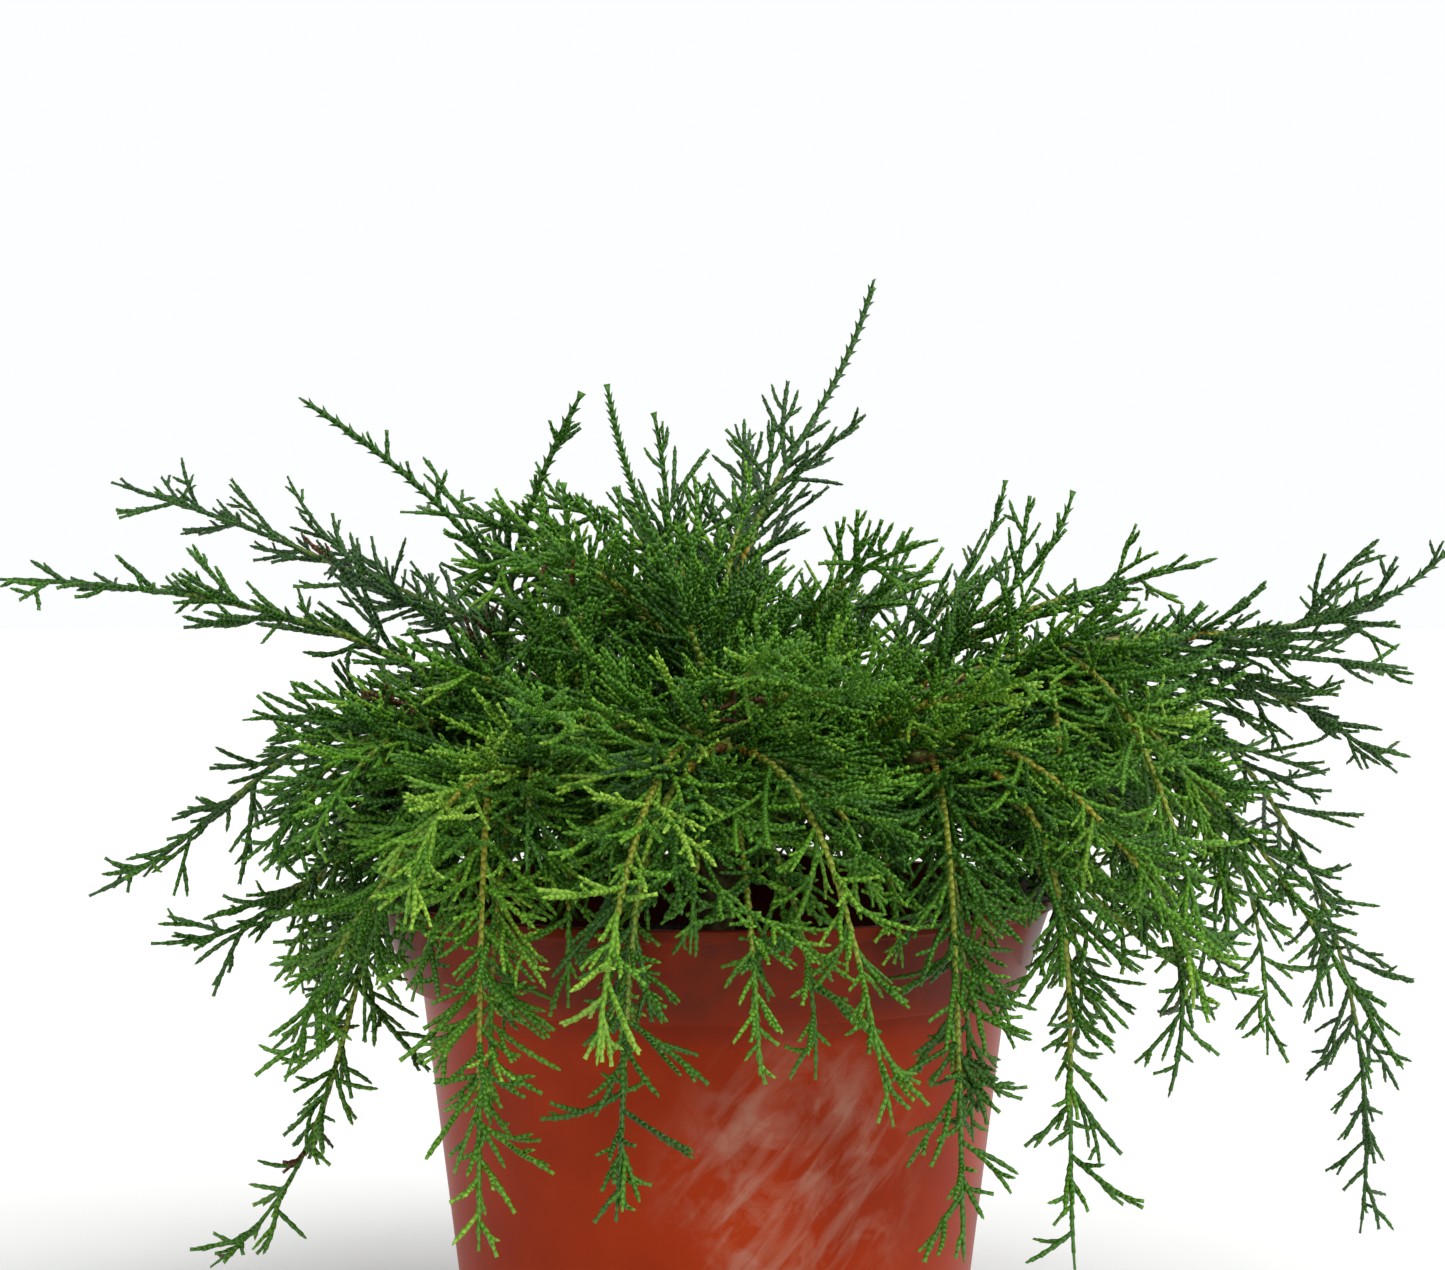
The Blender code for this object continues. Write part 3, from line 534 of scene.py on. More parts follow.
# %% Grow the wood
def tube(path, radii, sides):
    """A closed tube along a path, extruded ring by ring."""
    shape = bmesh.new()
    ring = bmesh.ops.create_circle(shape, segments=sides, radius=1.0)["verts"]
    flat = [vertex.co.copy() for vertex in ring]
    headings = np.gradient(path, axis=0)
    across = Vector(headings[0]).orthogonal().normalized()
    for index, (centre, heading, radius) in enumerate(zip(path, headings, radii)):
        forward = Vector(heading).normalized()
        across = (across - forward * across.dot(forward)).normalized()
        turn = Matrix((across, forward.cross(across), forward)).transposed()
        if index > 0:
            around = set(ring)
            edges = list({edge for corner in ring for edge in corner.link_edges
                          if set(edge.verts) <= around})
            grown = bmesh.ops.extrude_edge_only(shape, edges=edges)["geom"]
            new = [part for part in grown if isinstance(part, bmesh.types.BMVert)]
            order = {min(range(sides), key=lambda k: (ring[k].co - v.co).length): v for v in new}
            ring = [order[k] for k in range(sides)]
        for vertex, spot in zip(ring, flat):
            vertex.co = Vector(centre) + turn @ (spot * radius)
    bmesh.ops.holes_fill(shape, edges=[edge for edge in shape.edges if edge.is_boundary], sides=0)
    bmesh.ops.recalc_face_normals(shape, faces=shape.faces)
    return shape


WOOD_SIDES = 12
SCAR_SWELL = 0.10
STEM_TAPER = (0.97, 0.66)           # shares of the CAD stem's radius at its foot and top
LIMB_RADII = (0.0023, 0.0015)       # at a limb's foot and tip
wood_dice = random.Random(11)


def wood_mesh(name, path, first_radius, last_radius):
    """Wood along a path, tapering, with a slight swelling at every leaf scar."""
    radii = np.linspace(first_radius, last_radius, len(path))
    radii = radii * np.array([1 + wood_dice.uniform(-0.4, 1) * SCAR_SWELL for _ in radii])
    return to_mesh(name, tube(path, radii, WOOD_SIDES), smooth_below=70)


stem_path = even_steps(np.array([[0, 0, STEM_FOOT_Z], [0, 0, STEM_TOP_Z]]), LIMB_STEP)
stem_mesh = wood_mesh("bark_stem", stem_path, STEM_RADIUS * STEM_TAPER[0], STEM_RADIUS * STEM_TAPER[1])
limb_meshes = {name: wood_mesh(f"bark_{name}", path, *LIMB_RADII) for name, path in limb_paths.items()}
print("stem", len(stem_mesh.polygons), "faces")

# %% [markdown]
# ### Conifer bark
#
# Young bark is thin and papery: grey-brown plates a millimetre or two wide, with darker brown in
# the cracks between them.

# %% Bark material
bark, tree = new_material("papery_conifer_bark")
place = add_node(tree, "ShaderNodeTexCoord").outputs["Object"]
plates = add_node(tree, "ShaderNodeTexVoronoi", {"Vector": place, "Scale": 520.0})
fibres = add_node(tree, "ShaderNodeTexNoise", {"Vector": place, "Scale": 260.0, "Detail": 4.0})
mixed = add_node(tree, "ShaderNodeMath", {0: plates.outputs["Distance"], 1: fibres.outputs["Fac"]},
                 operation="MULTIPLY")
tone = add_node(tree, "ShaderNodeValToRGB", {"Fac": mixed.outputs[0]},
                stops=[(0.05, "#46321F"), (0.22, "#63522F"), (0.42, "#8A7C52")])
ridges = add_node(tree, "ShaderNodeBump", {
    "Height": mixed.outputs[0], "Distance": 0.0005, "Strength": 0.8})
shader = add_node(tree, "ShaderNodeBsdfPrincipled", {
    "Base Color": tone.outputs["Color"], "Roughness": 0.78, "Normal": ridges.outputs["Normal"]})
finish_shader(tree, shader)
piece("bark_stem", stem_mesh, bark, "stem")
for name, mesh in limb_meshes.items():
    piece(f"bark_limb_{name}", mesh, bark, f"limb_{name}")
print("wood pieces", 1 + len(limb_meshes))

# %% [markdown]
# ## One pair of scale leaves
#
# A twig is a stack of leaf pairs, each pair a quarter turn on from the last, so that it looks
# plaited.  One pair is a cup that clasps the twig and ends in two blunt tips.  A twig could be
# a plain tube with a bumpy texture, but its edge would stay smooth, and it is the edge that tells
# this plant from a pine.  So one cup is modelled once, with very few faces because it is repeated
# more than a hundred thousand times: a square base, extruded ring by ring and pulled up at two
# corners.

# %% Model the leaf pairs
TONE_WIDTH = 0.004      # how much of the tone axis one leaf covers, so that its faces have width
FOOT_REACH = 0.78       # half the width of the cup's foot
LEAF_DEPTH = 0.76       # half the depth of its mouth
LEAF_MOUTH = 1.02       # and how high that lies between the tips
BULGE = (0.95, 0.80, 0.66, 0.66)    # the ring between: width, depth, height and height at the tips


def leaf_pair(tip_reach, tip_rise, rings):
    """A cup of two opposite leaves, one unit in radius and one unit from this pair to the next:
    its points, its faces and each point's place on the colour map.  Each ring is extruded from
    the last and has a width across the leaves' middles, a depth between them and a height.  The
    face that is extruded stays where it was, out of sight inside the cup."""
    shape = bmesh.new()
    bmesh.ops.create_circle(shape, cap_ends=True, segments=4, radius=FOOT_REACH)
    tops = list(shape.faces)
    for width, depth, height, tip in rings + [(tip_reach, LEAF_DEPTH, LEAF_MOUTH, tip_rise)]:
        lifted = bmesh.ops.extrude_face_region(shape, geom=tops)["geom"]
        corners = [part for part in lifted if isinstance(part, bmesh.types.BMVert)]
        tops = [part for part in lifted if isinstance(part, bmesh.types.BMFace)]
        for corner in corners:
            if abs(corner.co.x) > abs(corner.co.y):
                corner.co = Vector((math.copysign(width, corner.co.x), 0, tip))
            else:
                corner.co = Vector((0, math.copysign(depth, corner.co.y), height))
    bmesh.ops.recalc_face_normals(shape, faces=shape.faces)
    points = np.array([vertex.co for vertex in shape.verts])
    shape.verts.index_update()
    faces = np.array([[vertex.index for vertex in face.verts] for face in shape.faces])
    shape.free()
    across = (points[:, 0] + 0.5 * points[:, 1]) * TONE_WIDTH / 2
    along = np.clip(0.06 + 0.86 * points[:, 2] / tip_rise + 0.04 * points[:, 1], 0.01, 0.99)
    return points, faces, np.stack([across, along], axis=1)


PRESSED = leaf_pair(1.02, 1.42, [BULGE])    # leaves pressed to the twig
BARBED = leaf_pair(2.15, 1.70, [BULGE])     # free tips, on strong leading shoots
SPARE = leaf_pair(1.06, 1.42, [])           # the same with fewer faces, deep in the plant
print("one leaf pair has", len(PRESSED[1]), "faces")

# %% [markdown]
# ## Growing the foliage
#
# Each shoot is grown as the plant does it.  Its axis follows the arch.  Side branches leave the
# axis on all sides a few millimetres apart, long near its foot and short near its tip.  They carry
# twigs of their own, and everything is dressed with leaf pairs, each a quarter turn on.  Branches
# that would enter the pot or the compost go to the other side, or stop short.  A particle system
# could scatter twigs as well, but it wouldn't know which way a branch grows.

# %% Keep out of the pot
POT_ROOM = 1.1 * MM


def in_pot(points):
    """True for each point in the pot's wall or the compost, or within POT_ROOM of them."""
    reach, z = np.hypot(points[:, 0], points[:, 1]), points[:, 2]
    collar = COLLAR_FOOT_RADIUS + (RIM_RADIUS - COLLAR_FOOT_RADIUS) * (z - STEP_Z) / COLLAR_HEIGHT
    body = BASE_RADIUS + (BODY_TOP_RADIUS - BASE_RADIUS) * z / STEP_Z
    outer = np.where(z > STEP_Z - POT_ROOM, np.clip(collar, COLLAR_FOOT_RADIUS, RIM_RADIUS), body)
    within = reach < outer + POT_ROOM
    wall = within & (z < POT_HEIGHT + POT_ROOM) & (reach > outer - WALL - LIP_OVERHANG - POT_ROOM)
    soil = within & (z < SOIL_TOP_Z + POT_ROOM)
    return wall | soil | (z < POT_ROOM)


inside_and_above = np.array([[0, 0, POT_HEIGHT / 2], [0, 0, POT_HEIGHT * 2]])
print("in the pot at half and at twice its height:", in_pot(inside_and_above))

# %% Dress a path with leaf pairs
INTERNODE = 1.36 * MM
TWIG_RADIUS = 0.72 * MM
FEWEST_PAIRS = 2                # on the shortest twig


def unit(vectors):
    """The vectors, each made one unit long."""
    return vectors / np.linalg.norm(vectors, axis=-1, keepdims=True)


def twig_path(start, heading, bend, length):
    """Points an internode apart on a twig that sets off one way and bends to another, and the
    direction at each."""
    count = max(FEWEST_PAIRS, round(length / INTERNODE))
    share = (np.arange(count)[:, None] + 0.5) / count
    ways = unit(heading + share * bend)
    places = start + np.vstack([np.zeros(3), np.cumsum(ways, axis=0)[:-1]]) * INTERNODE
    return places, ways


def dress(leaves, places, ways, side, radii, lengths, tones):
    """Adds a leaf pair at every place, each a quarter turn on from the last."""
    across = unit(side - ways * (ways @ side)[:, None])
    turned = np.cross(ways, across)
    odd = (np.arange(len(places)) % 2 == 1)[:, None]
    leaves.append(np.hstack([places, np.where(odd, turned, across), ways,
                             np.stack([radii, lengths, tones], axis=1)]))


print("leaf pairs are", round(INTERNODE / MM, 2), "mm apart on a twig", round(2 * TWIG_RADIUS / MM, 2),
      "mm thick")

# %% [markdown]
# ### How a branch divides
#
# A side branch sets off at 22 to 60 degrees to its axis and bends upward and a little to one side.
# It carries twigs by turns on its left and right, shorter toward its tip, and a long twig carries
# one more.  If the pot is in a twig's way, it tries the other side and then the top.

# %% Grow one twig
UP = np.array([0.0, 0.0, 1.0])
FORWARD = (22, 60)              # degrees between a side branch and its axis
ONWARD = (-0.10, 0.55)          # how much a twig bends along its branch, as shares of its direction
LIFT = 0.24                     # how much it bends upward
SWAY = 0.46                     # and, at most, to any side
SHORTEST_STUB = 3               # leaf pairs that a twig keeps where the pot cuts it short
TWIG_TAPER = 0.10               # what its radius loses from foot to tip
TIP_BRIGHTER = 0.10             # and what its tone gains


def outward(way, degrees):
    """The direction square to a branch, turned about it: 0 is to its level side, 90 upward."""
    level = np.cross(way, UP)
    if np.linalg.norm(level) < 0.3:
        level = np.cross(way, np.array([0.0, 1.0, 0.0]))
    level = unit(level)
    turn = math.radians(degrees)
    return level * math.cos(turn) + np.cross(level, way) * math.sin(turn)


def set_off(way, roll, dice):
    """The direction in which a side branch sets off."""
    forward = math.radians(dice.uniform(*FORWARD))
    return way * math.cos(forward) + outward(way, roll) * math.sin(forward)


def twig(leaves, start, way, roll, length, radius, tone, dice):
    """One twig, or None where the pot leaves no room for it on any side."""
    bend = way * dice.uniform(*ONWARD) + UP * LIFT
    bend = bend + np.array([dice.uniform(-SWAY, SWAY) for _ in range(3)])
    for side in (roll, roll + 180, roll + 90):
        heading = set_off(way, side, dice)
        places, ways = twig_path(start, heading, bend, length)
        blocked = in_pot(places)
        free = int(np.argmax(blocked)) if blocked.any() else len(places)
        if free >= max(SHORTEST_STUB, len(places) // 3):
            break
    else:
        return None
    places, ways = places[:free], ways[:free]
    steps = np.arange(free)
    # the last two pairs are smaller still, so that the tip looks closed
    closing = np.clip(0.74 + 0.13 * steps[::-1], 0.5, 1.0)
    radii = radius * closing * (1 - TWIG_TAPER * steps / free)
    tones = tone + TIP_BRIGHTER * steps / free
    dress(leaves, places, ways, outward(heading, dice.uniform(-20, 20)), radii,
          np.full(free, INTERNODE), tones)
    return places, ways


# %% Grow one side branch
LONGEST_SIDE = 34 * MM
TWIG_SPACING = 4.8 * MM
TWIG_SHARE = 0.78               # a twig is this share of what is left of its branch
SHORTEST_TWIG = 2.4 * MM        # and this much more
LONGEST_TWIG = 16 * MM
BARE_FOOT, BARE_TIP = 3.4 * MM, 2.6 * MM        # no twigs on these ends of a branch
FORKED_FROM = 9 * MM            # a twig longer than this has a twig of its own


def branch(leaves, start, way, roll, length, tone, dice):
    """A side branch with twigs of its own in two rows."""
    radius = TWIG_RADIUS * (0.92 + 0.25 * min(length / LONGEST_SIDE, 1))
    grown = twig(leaves, start, way, roll, length, radius, tone, dice)
    if grown is None:
        return
    places, ways = grown
    length = len(places) * INTERNODE
    plane = dice.uniform(-30, 30)
    run = max(0.20 * length, BARE_FOOT)
    side = dice.choice((0, 180))
    while run < length - BARE_TIP:
        at = int(run / INTERNODE)
        reach = min(TWIG_SHARE * (length - run) + SHORTEST_TWIG, LONGEST_TWIG) * dice.uniform(0.45, 1.15)
        hue = tone + dice.uniform(-0.10, 0.12)
        grown = twig(leaves, places[at], ways[at], side + plane + dice.uniform(-30, 30), reach,
                     TWIG_RADIUS * 0.94, hue, dice)
        if grown is not None and reach > FORKED_FROM:
            fork = len(grown[0]) * dice.randrange(40, 70) // 100
            twig(leaves, grown[0][fork], grown[1][fork], dice.uniform(0, 360),
                 dice.uniform(2.6, 4.5) * MM, TWIG_RADIUS * 0.9, hue + 0.04, dice)
        run += TWIG_SPACING * dice.uniform(0.65, 1.35)
        side += 180


trial = []
branch(trial, np.array([0, 0, POT_HEIGHT * 2]), UP, 0, LONGEST_SIDE, 0.5, random.Random(1))
print("a branch of", round(LONGEST_SIDE / MM), "mm has", len(trial) - 1, "twigs and",
      sum(len(rows) for rows in trial), "leaf pairs")

# %% [markdown]
# ### The tones of the leaves
#
# Every leaf pair gets a place on one axis of tones, which the leaf material turns into colours:
# brown, orange, yellow and olive for the old leaves along an axis, then the greens from deep to
# fresh.

# %% Tones
BROWN, ORANGE, YELLOW, OLIVE = 0.05, 0.16, 0.25, 0.35
GREENS = (0.46, 0.98)
DEAD, DEAD_SHARE = -9.0, 0.004      # the tone that marks a dead branch, and how many there are
TONE = 11                           # a leaf row's column for its tone
LEAF_VARIATION = 0.03               # how much neighbouring leaves differ in tone


def green(tone):
    """The place on the axis of tones of a leaf tone from 0 to 1."""
    return GREENS[0] + (GREENS[1] - GREENS[0]) * np.clip(tone, 0, 1)


def branch_tone(tone, share, dice):
    """A branch's tone, a little brighter outward; a few branches are dead."""
    if dice.random() < DEAD_SHARE:
        return DEAD
    return tone + 0.10 * (share - 0.5) + dice.gauss(0, 0.09)


print("greens from", round(float(green(0)), 2), "to", round(float(green(1)), 2))

# %% [markdown]
# ### A whole shoot
#
# The axis of a shoot is thicker than its twigs and yellowish where its leaves are old.  Strong
# leading shoots end in a bare whip with few side branches, whose leaf tips stand off like barbs.

# %% Grow one shoot
AXIS_FOOT, AXIS_TAPER = 1.12, 0.50      # an axis' radius at its foot, and what it loses, in mm
LEADER_SWELL = 0.36                     # what a leader's axis gains toward its tip, in mm
TIP_RADII = (0.92, 0.80, 0.62)          # shares that the last three pairs keep
LEAF_OVERLAP = 1.02
FREE_RADIUS = 0.92                      # share that a pair with free tips keeps
BROWN_UNTIL, ORANGE_UNTIL = 0.03, 0.12  # shares of an axis, from its foot
OLD_UNTIL, LEADER_OLD = 0.72, 0.42      # where its green begins, and how much sooner on a leader
FREE_FROM = 0.45                        # a shoot more barbed than this has pairs with free tips
FIRST_SIDE, LAST_SIDE = 7 * MM, 2.5 * MM        # bare foot and tip of a shoot
SIDE_SPACING = 3.3 * MM
SHORTEST_SIDE = 11 * MM
LEADER_BARE = 0.62                      # the outer part of a leader that has few side branches,
LEADER_SIDES, LEADER_SIDE = 0.30, 7 * MM        # the share of them that grow, and their length
RANKS = (0, 180, 78, 182, 2, 262)       # degrees about the axis of one side branch after another


def grow_axis(path, tone, barbed, dice):
    """The leaves of a shoot's own axis: pressed ones and the barbed ones of its tip."""
    count = len(path) - 1
    ways = unit(np.diff(path, axis=0))
    share = np.arange(count) / count
    radii = (AXIS_FOOT - AXIS_TAPER * share ** 0.8 + LEADER_SWELL * barbed * share) * MM
    radii[-3:] *= TIP_RADII
    lengths = np.linalg.norm(np.diff(path, axis=0), axis=1) * LEAF_OVERLAP
    old = OLIVE - (OLIVE - YELLOW) * np.clip(1.5 * tone - 0.3, 0, 1) + 0.02 * math.sin(7 * count)
    green_from = OLD_UNTIL - LEADER_OLD * barbed
    tones = np.where(share < green_from, old + 0.03 * share, green(tone + 0.05))
    tones = np.where(share < ORANGE_UNTIL, ORANGE + 0.6 * share, tones)
    tones = np.where(share < BROWN_UNTIL, BROWN + 0.04, tones)
    side = outward(ways[0], dice.uniform(0, 90))
    free = share > 1 - 0.5 * barbed if barbed > FREE_FROM else np.zeros(count, bool)
    pressed, spread = [], []
    dress(pressed, path[:-1], ways, side, radii, lengths, tones)
    dress(spread, path[:-1], ways, side, radii * FREE_RADIUS, lengths, tones)
    return pressed[0][~free], spread[0][free]


def grow_shoot(path, tone, barbed, dice):
    """All the leaf pairs of one shoot, in two kinds."""
    leaves = []
    pressed, spread = grow_axis(path, tone, barbed, dice)
    ways = unit(np.diff(path, axis=0))
    step = np.linalg.norm(path[1] - path[0])
    length = step * len(ways)
    run, rank = FIRST_SIDE, dice.randrange(len(RANKS))
    while run < length - LAST_SIDE:
        at = int(run / step)
        share = run / length
        reach = LONGEST_SIDE + (SHORTEST_SIDE - LONGEST_SIDE) * share ** 0.8
        reach = min(reach, 0.85 * (length - run) + 3 * MM) * dice.uniform(0.34, 1.3)
        if share > 1 - LEADER_BARE * barbed:
            reach = min(reach, LEADER_SIDE) if dice.random() < LEADER_SIDES else 0
        if reach > 0:
            branch(leaves, path[at], ways[at], RANKS[rank] + dice.uniform(-24, 24), reach,
                   branch_tone(tone, share, dice), dice)
        run += SIDE_SPACING * dice.uniform(0.6, 1.4)
        rank = (rank + 1) % len(RANKS)
    if not leaves:
        return pressed, spread
    grown = np.vstack(leaves)
    flecks = np.random.default_rng(len(grown)).normal(0, LEAF_VARIATION, len(grown))
    grown[:, TONE] = np.where(grown[:, TONE] < DEAD / 2, BROWN, green(grown[:, TONE] + flecks))
    return np.vstack([pressed, grown]), spread


# %% [markdown]
# ### From leaf pairs to a mesh
#
# The modelled pair is set at every place, stretched to the internode and to the twig.  Each leaf
# keeps its place on a small colour map: across it runs the tone of the whole leaf, along it the
# way from foot to tip.

# %% Copy the leaf pair
def leaf_mesh(name, kinds):
    """One mesh of all the leaf pairs: kinds are (model, rows) with a place, a side, a direction,
    a radius, a length and a tone in each row."""
    all_points, all_faces, all_places, offset = [], [], [], 0
    for (points, faces, marks), rows in kinds:
        if not len(rows):
            continue
        centre, across, along = rows[:, 0:3], rows[:, 3:6], rows[:, 6:9]
        radius, length, tone = rows[:, 9], rows[:, 10], rows[:, 11]
        over = np.cross(along, across)
        made = centre[:, None] + radius[:, None, None] * (
            points[None, :, 0:1] * across[:, None] + points[None, :, 1:2] * over[:, None])
        made += (points[None, :, 2:3] * length[:, None, None]) * along[:, None]
        places = np.stack([np.broadcast_to(marks[:, 0], (len(rows), len(points))) + tone[:, None],
                           np.broadcast_to(marks[:, 1], (len(rows), len(points)))], axis=2)
        all_faces.append((faces[None] + offset + len(points) * np.arange(len(rows))[:, None, None])
                         .reshape(-1, faces.shape[1]))
        all_points.append(made.reshape(-1, 3))
        all_places.append(places.reshape(-1, 2))
        offset += len(rows) * len(points)
    points, faces = np.vstack(all_points), np.vstack(all_faces)
    mesh = bpy.data.meshes.new(name)
    mesh.vertices.add(len(points))
    mesh.vertices.foreach_set("co", points.ravel())
    mesh.loops.add(faces.size)
    mesh.loops.foreach_set("vertex_index", faces.ravel())
    mesh.polygons.add(len(faces))
    mesh.polygons.foreach_set("loop_start", np.arange(len(faces)) * faces.shape[1])
    mesh.update(calc_edges=True)
    layer = mesh.uv_layers.new(name="OFBake")
    layer.uv.foreach_set("vector", np.clip(np.vstack(all_places)[faces.ravel()], 0.002, 0.998).ravel())
    mesh.shade_smooth()
    mesh.validate()
    return mesh


# %% [markdown]
# ### Scale leaves
#
# A live scale leaf is waxy: roughness near 0.4, IOR near 1.45.  The tone axis runs from dead brown
# through the orange and yellow of old axes to deep blue-green, mid green and the fresh yellow-green
# of new tips.  Along the leaf, painted shade darkens the foot where it is tucked under the pair
# below, and a painted highlight lightens the free tip.

# %% Leaf material
leafy, tree = new_material("waxy_conifer_scale_leaf")
leaf_map = add_node(tree, "ShaderNodeUVMap", uv_map="OFBake")
spot = add_node(tree, "ShaderNodeSeparateXYZ", {"Vector": leaf_map.outputs["UV"]})
hue = add_node(tree, "ShaderNodeValToRGB", {"Fac": spot.outputs["X"]}, stops=[
    (0.03, "#4A2E1A"), (0.12, "#9A6A30"), (0.22, "#B9A334"), (0.33, "#8CA636"), (0.40, "#4A6B2B"),
    (0.46, "#2C5426"), (0.60, "#35651B"), (0.74, "#4B861C"), (0.87, "#6DAA26"), (0.99, "#A8D648")])
# painted shade at each leaf's foot and a painted highlight at its tip
shade = add_node(tree, "ShaderNodeValToRGB", {"Fac": spot.outputs["Y"]}, stops=[
    (0.05, "#A2A2A2"), (0.45, "#D6D6D6"), (0.85, "#F4F4F4")])
leaf_colour = add_node(tree, "ShaderNodeMix", {
    MIX_SHARE: 1.0, MIX_A: hue.outputs["Color"], MIX_B: shade.outputs["Color"]},
    data_type="RGBA", blend_type="MULTIPLY")
shader = add_node(tree, "ShaderNodeBsdfPrincipled", {
    "Base Color": leaf_colour.outputs[MIX_RESULT], "Roughness": 0.38, "IOR": 1.42})
finish_shader(tree, shader)
print(leafy.name)

# %% Grow every shoot
AXIS_STEP = 1.9 * MM        # from one leaf pair to the next on a shoot's own axis
BEHIND = 0.30               # sine of the azimuth past which a shoot is on the plant's far side
leaf_count, leaf_triangles = 0, 0
for order, (name, row) in enumerate(SHOOTS.items()):
    limb, share, azimuth, beyond, above, rise, finish, tone, barbed = row
    limb_path = limb_paths[limb]
    start = Vector(limb_path[round(share * (len(limb_path) - 1))])
    path = arch(start, end_point(azimuth, beyond, above), rise, finish, AXIS_STEP)
    pressed, spread = grow_shoot(path, tone, barbed, random.Random(100 + order))
    model = SPARE if math.sin(math.radians(azimuth)) > BEHIND else PRESSED
    mesh = leaf_mesh(f"foliage_{name}", [(model, pressed), (BARBED, spread)])
    piece(f"foliage_{name}", mesh, leafy, f"shoot_{name}")
    leaf_count += len(pressed) + len(spread)
    leaf_triangles += 2 * len(mesh.polygons)
print(leaf_count, "leaf pairs,", leaf_triangles, "triangles")

# %% [markdown]
# ### The inner shoots
#
# Between the long shoots the limbs carry many short ones, which make the plant a dense mound and
# hide the wood.  They aren't worth a row each: their ends are drawn by a seeded dice from the
# mound's own shape, a low dome that is level in the middle, and a skirt that hangs over the rim.

# %% Where the inner shoots end
MOUND_TOP = 88              # the mound's height over the rim at its middle, in millimetres
MOUND_FALL = 0.24           # and how much lower it is for each millimetre outward
MOUND_FLAT = 30             # the radius within which its top is level
DRAPED = {"left": -160, "right": -16}       # directions in which these limbs' hanging shoots lie
DRAPED_OUT = {"right": 72, "back_right": 66}    # how far outside the rim they reach, in mm
DRAPED_NEAR = 28                                # and on the other limbs


def rising_end(azimuth, limb_reach, dice):
    """An end inside the mound: its azimuth, its distance from the axis and its height."""
    reach = dice.uniform(0.3, 1.0) * limb_reach + dice.uniform(0, 18)
    top = MOUND_TOP - MOUND_FALL * max(reach - MOUND_FLAT, 0)
    above = top * dice.uniform(0.42, 1.0)
    return azimuth + dice.uniform(-34, 34), reach, above


def hanging_end(azimuth, out, dice):
    """An end on the skirt that hangs over the rim."""
    reach = RIM_RADIUS / MM + dice.uniform(3, out)
    return azimuth + dice.uniform(-26, 26), reach, dice.uniform(-46, 22)


def skirt_end(azimuth, dice):
    """An end on the rim or just over it."""
    return azimuth + dice.uniform(-32, 32), dice.uniform(70, 98), dice.uniform(2, 22)


def deep_end(azimuth, dice):
    """An end low in the plant, over the compost and the rim."""
    return azimuth + dice.uniform(-30, 30), dice.uniform(40, 86), dice.uniform(3, 30)


def inner_row(kind, name, limb_reach, dice):
    """An inner shoot's end, as the functions above give it, and its place along its limb."""
    azimuth = LIMBS[name][0]
    if kind == "deep":
        return *deep_end(azimuth, dice), dice.uniform(0.12, 0.7)
    if kind == "skirt":
        return *skirt_end(azimuth, dice), dice.uniform(0.45, 0.95)
    if kind == "hanging":
        out = DRAPED_OUT.get(name, DRAPED_NEAR)
        return *hanging_end(DRAPED.get(name, azimuth), out, dice), dice.uniform(0.55, 0.98)
    if kind == "rising":
        way, reach, above = rising_end(azimuth, limb_reach, dice)
        along = (reach - dice.uniform(22, 55)) / limb_reach
        return way, reach, above, min(max(along, 0.16), 0.97)
    directions, distances, height = kind
    way, reach = dice.uniform(*directions), dice.uniform(*distances)
    above = dice.uniform(0.55, 1.0) * height
    return way, reach, above, dice.uniform(0.1, 0.9)


print("the mound is", MOUND_TOP, "mm high over the rim and falls", MOUND_FALL, "mm a millimetre")

# %% How many inner shoots each limb has
RISING_SHOOTS = 4           # of each limb, as the next two
DEEP_SHOOTS = 4
SKIRT_SHOOTS = 4            # low sprays that lie over the rim
HANGING_SHOOTS = {"left": 12, "right": 10, "front_left": 8, "front_right": 8, "front": 5}
HANGING_BEHIND = 7          # and on each of the other limbs
# these rise round the middle: how many, in which directions (degrees), how far out and how high
CROWN = [(5, (-30, 150), (14, 66), 106), (7, (158, 232), (30, 84), 100)]


def inner_kinds(name):
    """The kinds of a limb's inner shoots, one after another."""
    if name == "centre":
        return [group[1:] for group in CROWN for _ in range(group[0])]
    hanging = HANGING_SHOOTS.get(name, HANGING_BEHIND)
    return (["rising"] * RISING_SHOOTS + ["hanging"] * hanging + ["deep"] * DEEP_SHOOTS
            + ["skirt"] * SKIRT_SHOOTS)


print({name: len(inner_kinds(name)) for name in LIMBS})

# %% The course of one inner shoot
FEWEST_STEPS = 10           # a shoot shorter than this many leaf pairs isn't worth growing
CLEARING = (0, 8, 16, 26)   # how much higher its end is tried, in mm, where the pot is in the way
LIMB_GREEN_FROM = 0.30      # the outer part of a limb still has its leaves
BARE = -5.0                 # the tone that marks the leaves on the limb itself
LIMB_SLEEVE = (3.1, 2.2)    # their radius at the limb's foot and tip, in mm


def inner_path(limb_path, azimuth, reach, above, along, dice):
    """The course of an inner shoot, or None where the pot is in its way."""
    start = Vector(limb_path[int(along * (len(limb_path) - 1))])
    for lift in CLEARING:
        end = end_point(azimuth, reach - RIM_RADIUS / MM, above + lift)
        chord = end - start
        slope = math.degrees(math.atan2(chord.z, math.hypot(chord.x, chord.y)))
        rise = min(slope + dice.uniform(18, 38), 88)
        path = arch(start, end, rise, slope - dice.uniform(20, 50), AXIS_STEP)
        if len(path) > FEWEST_STEPS and not in_pot(path).any():
            return path
    return None


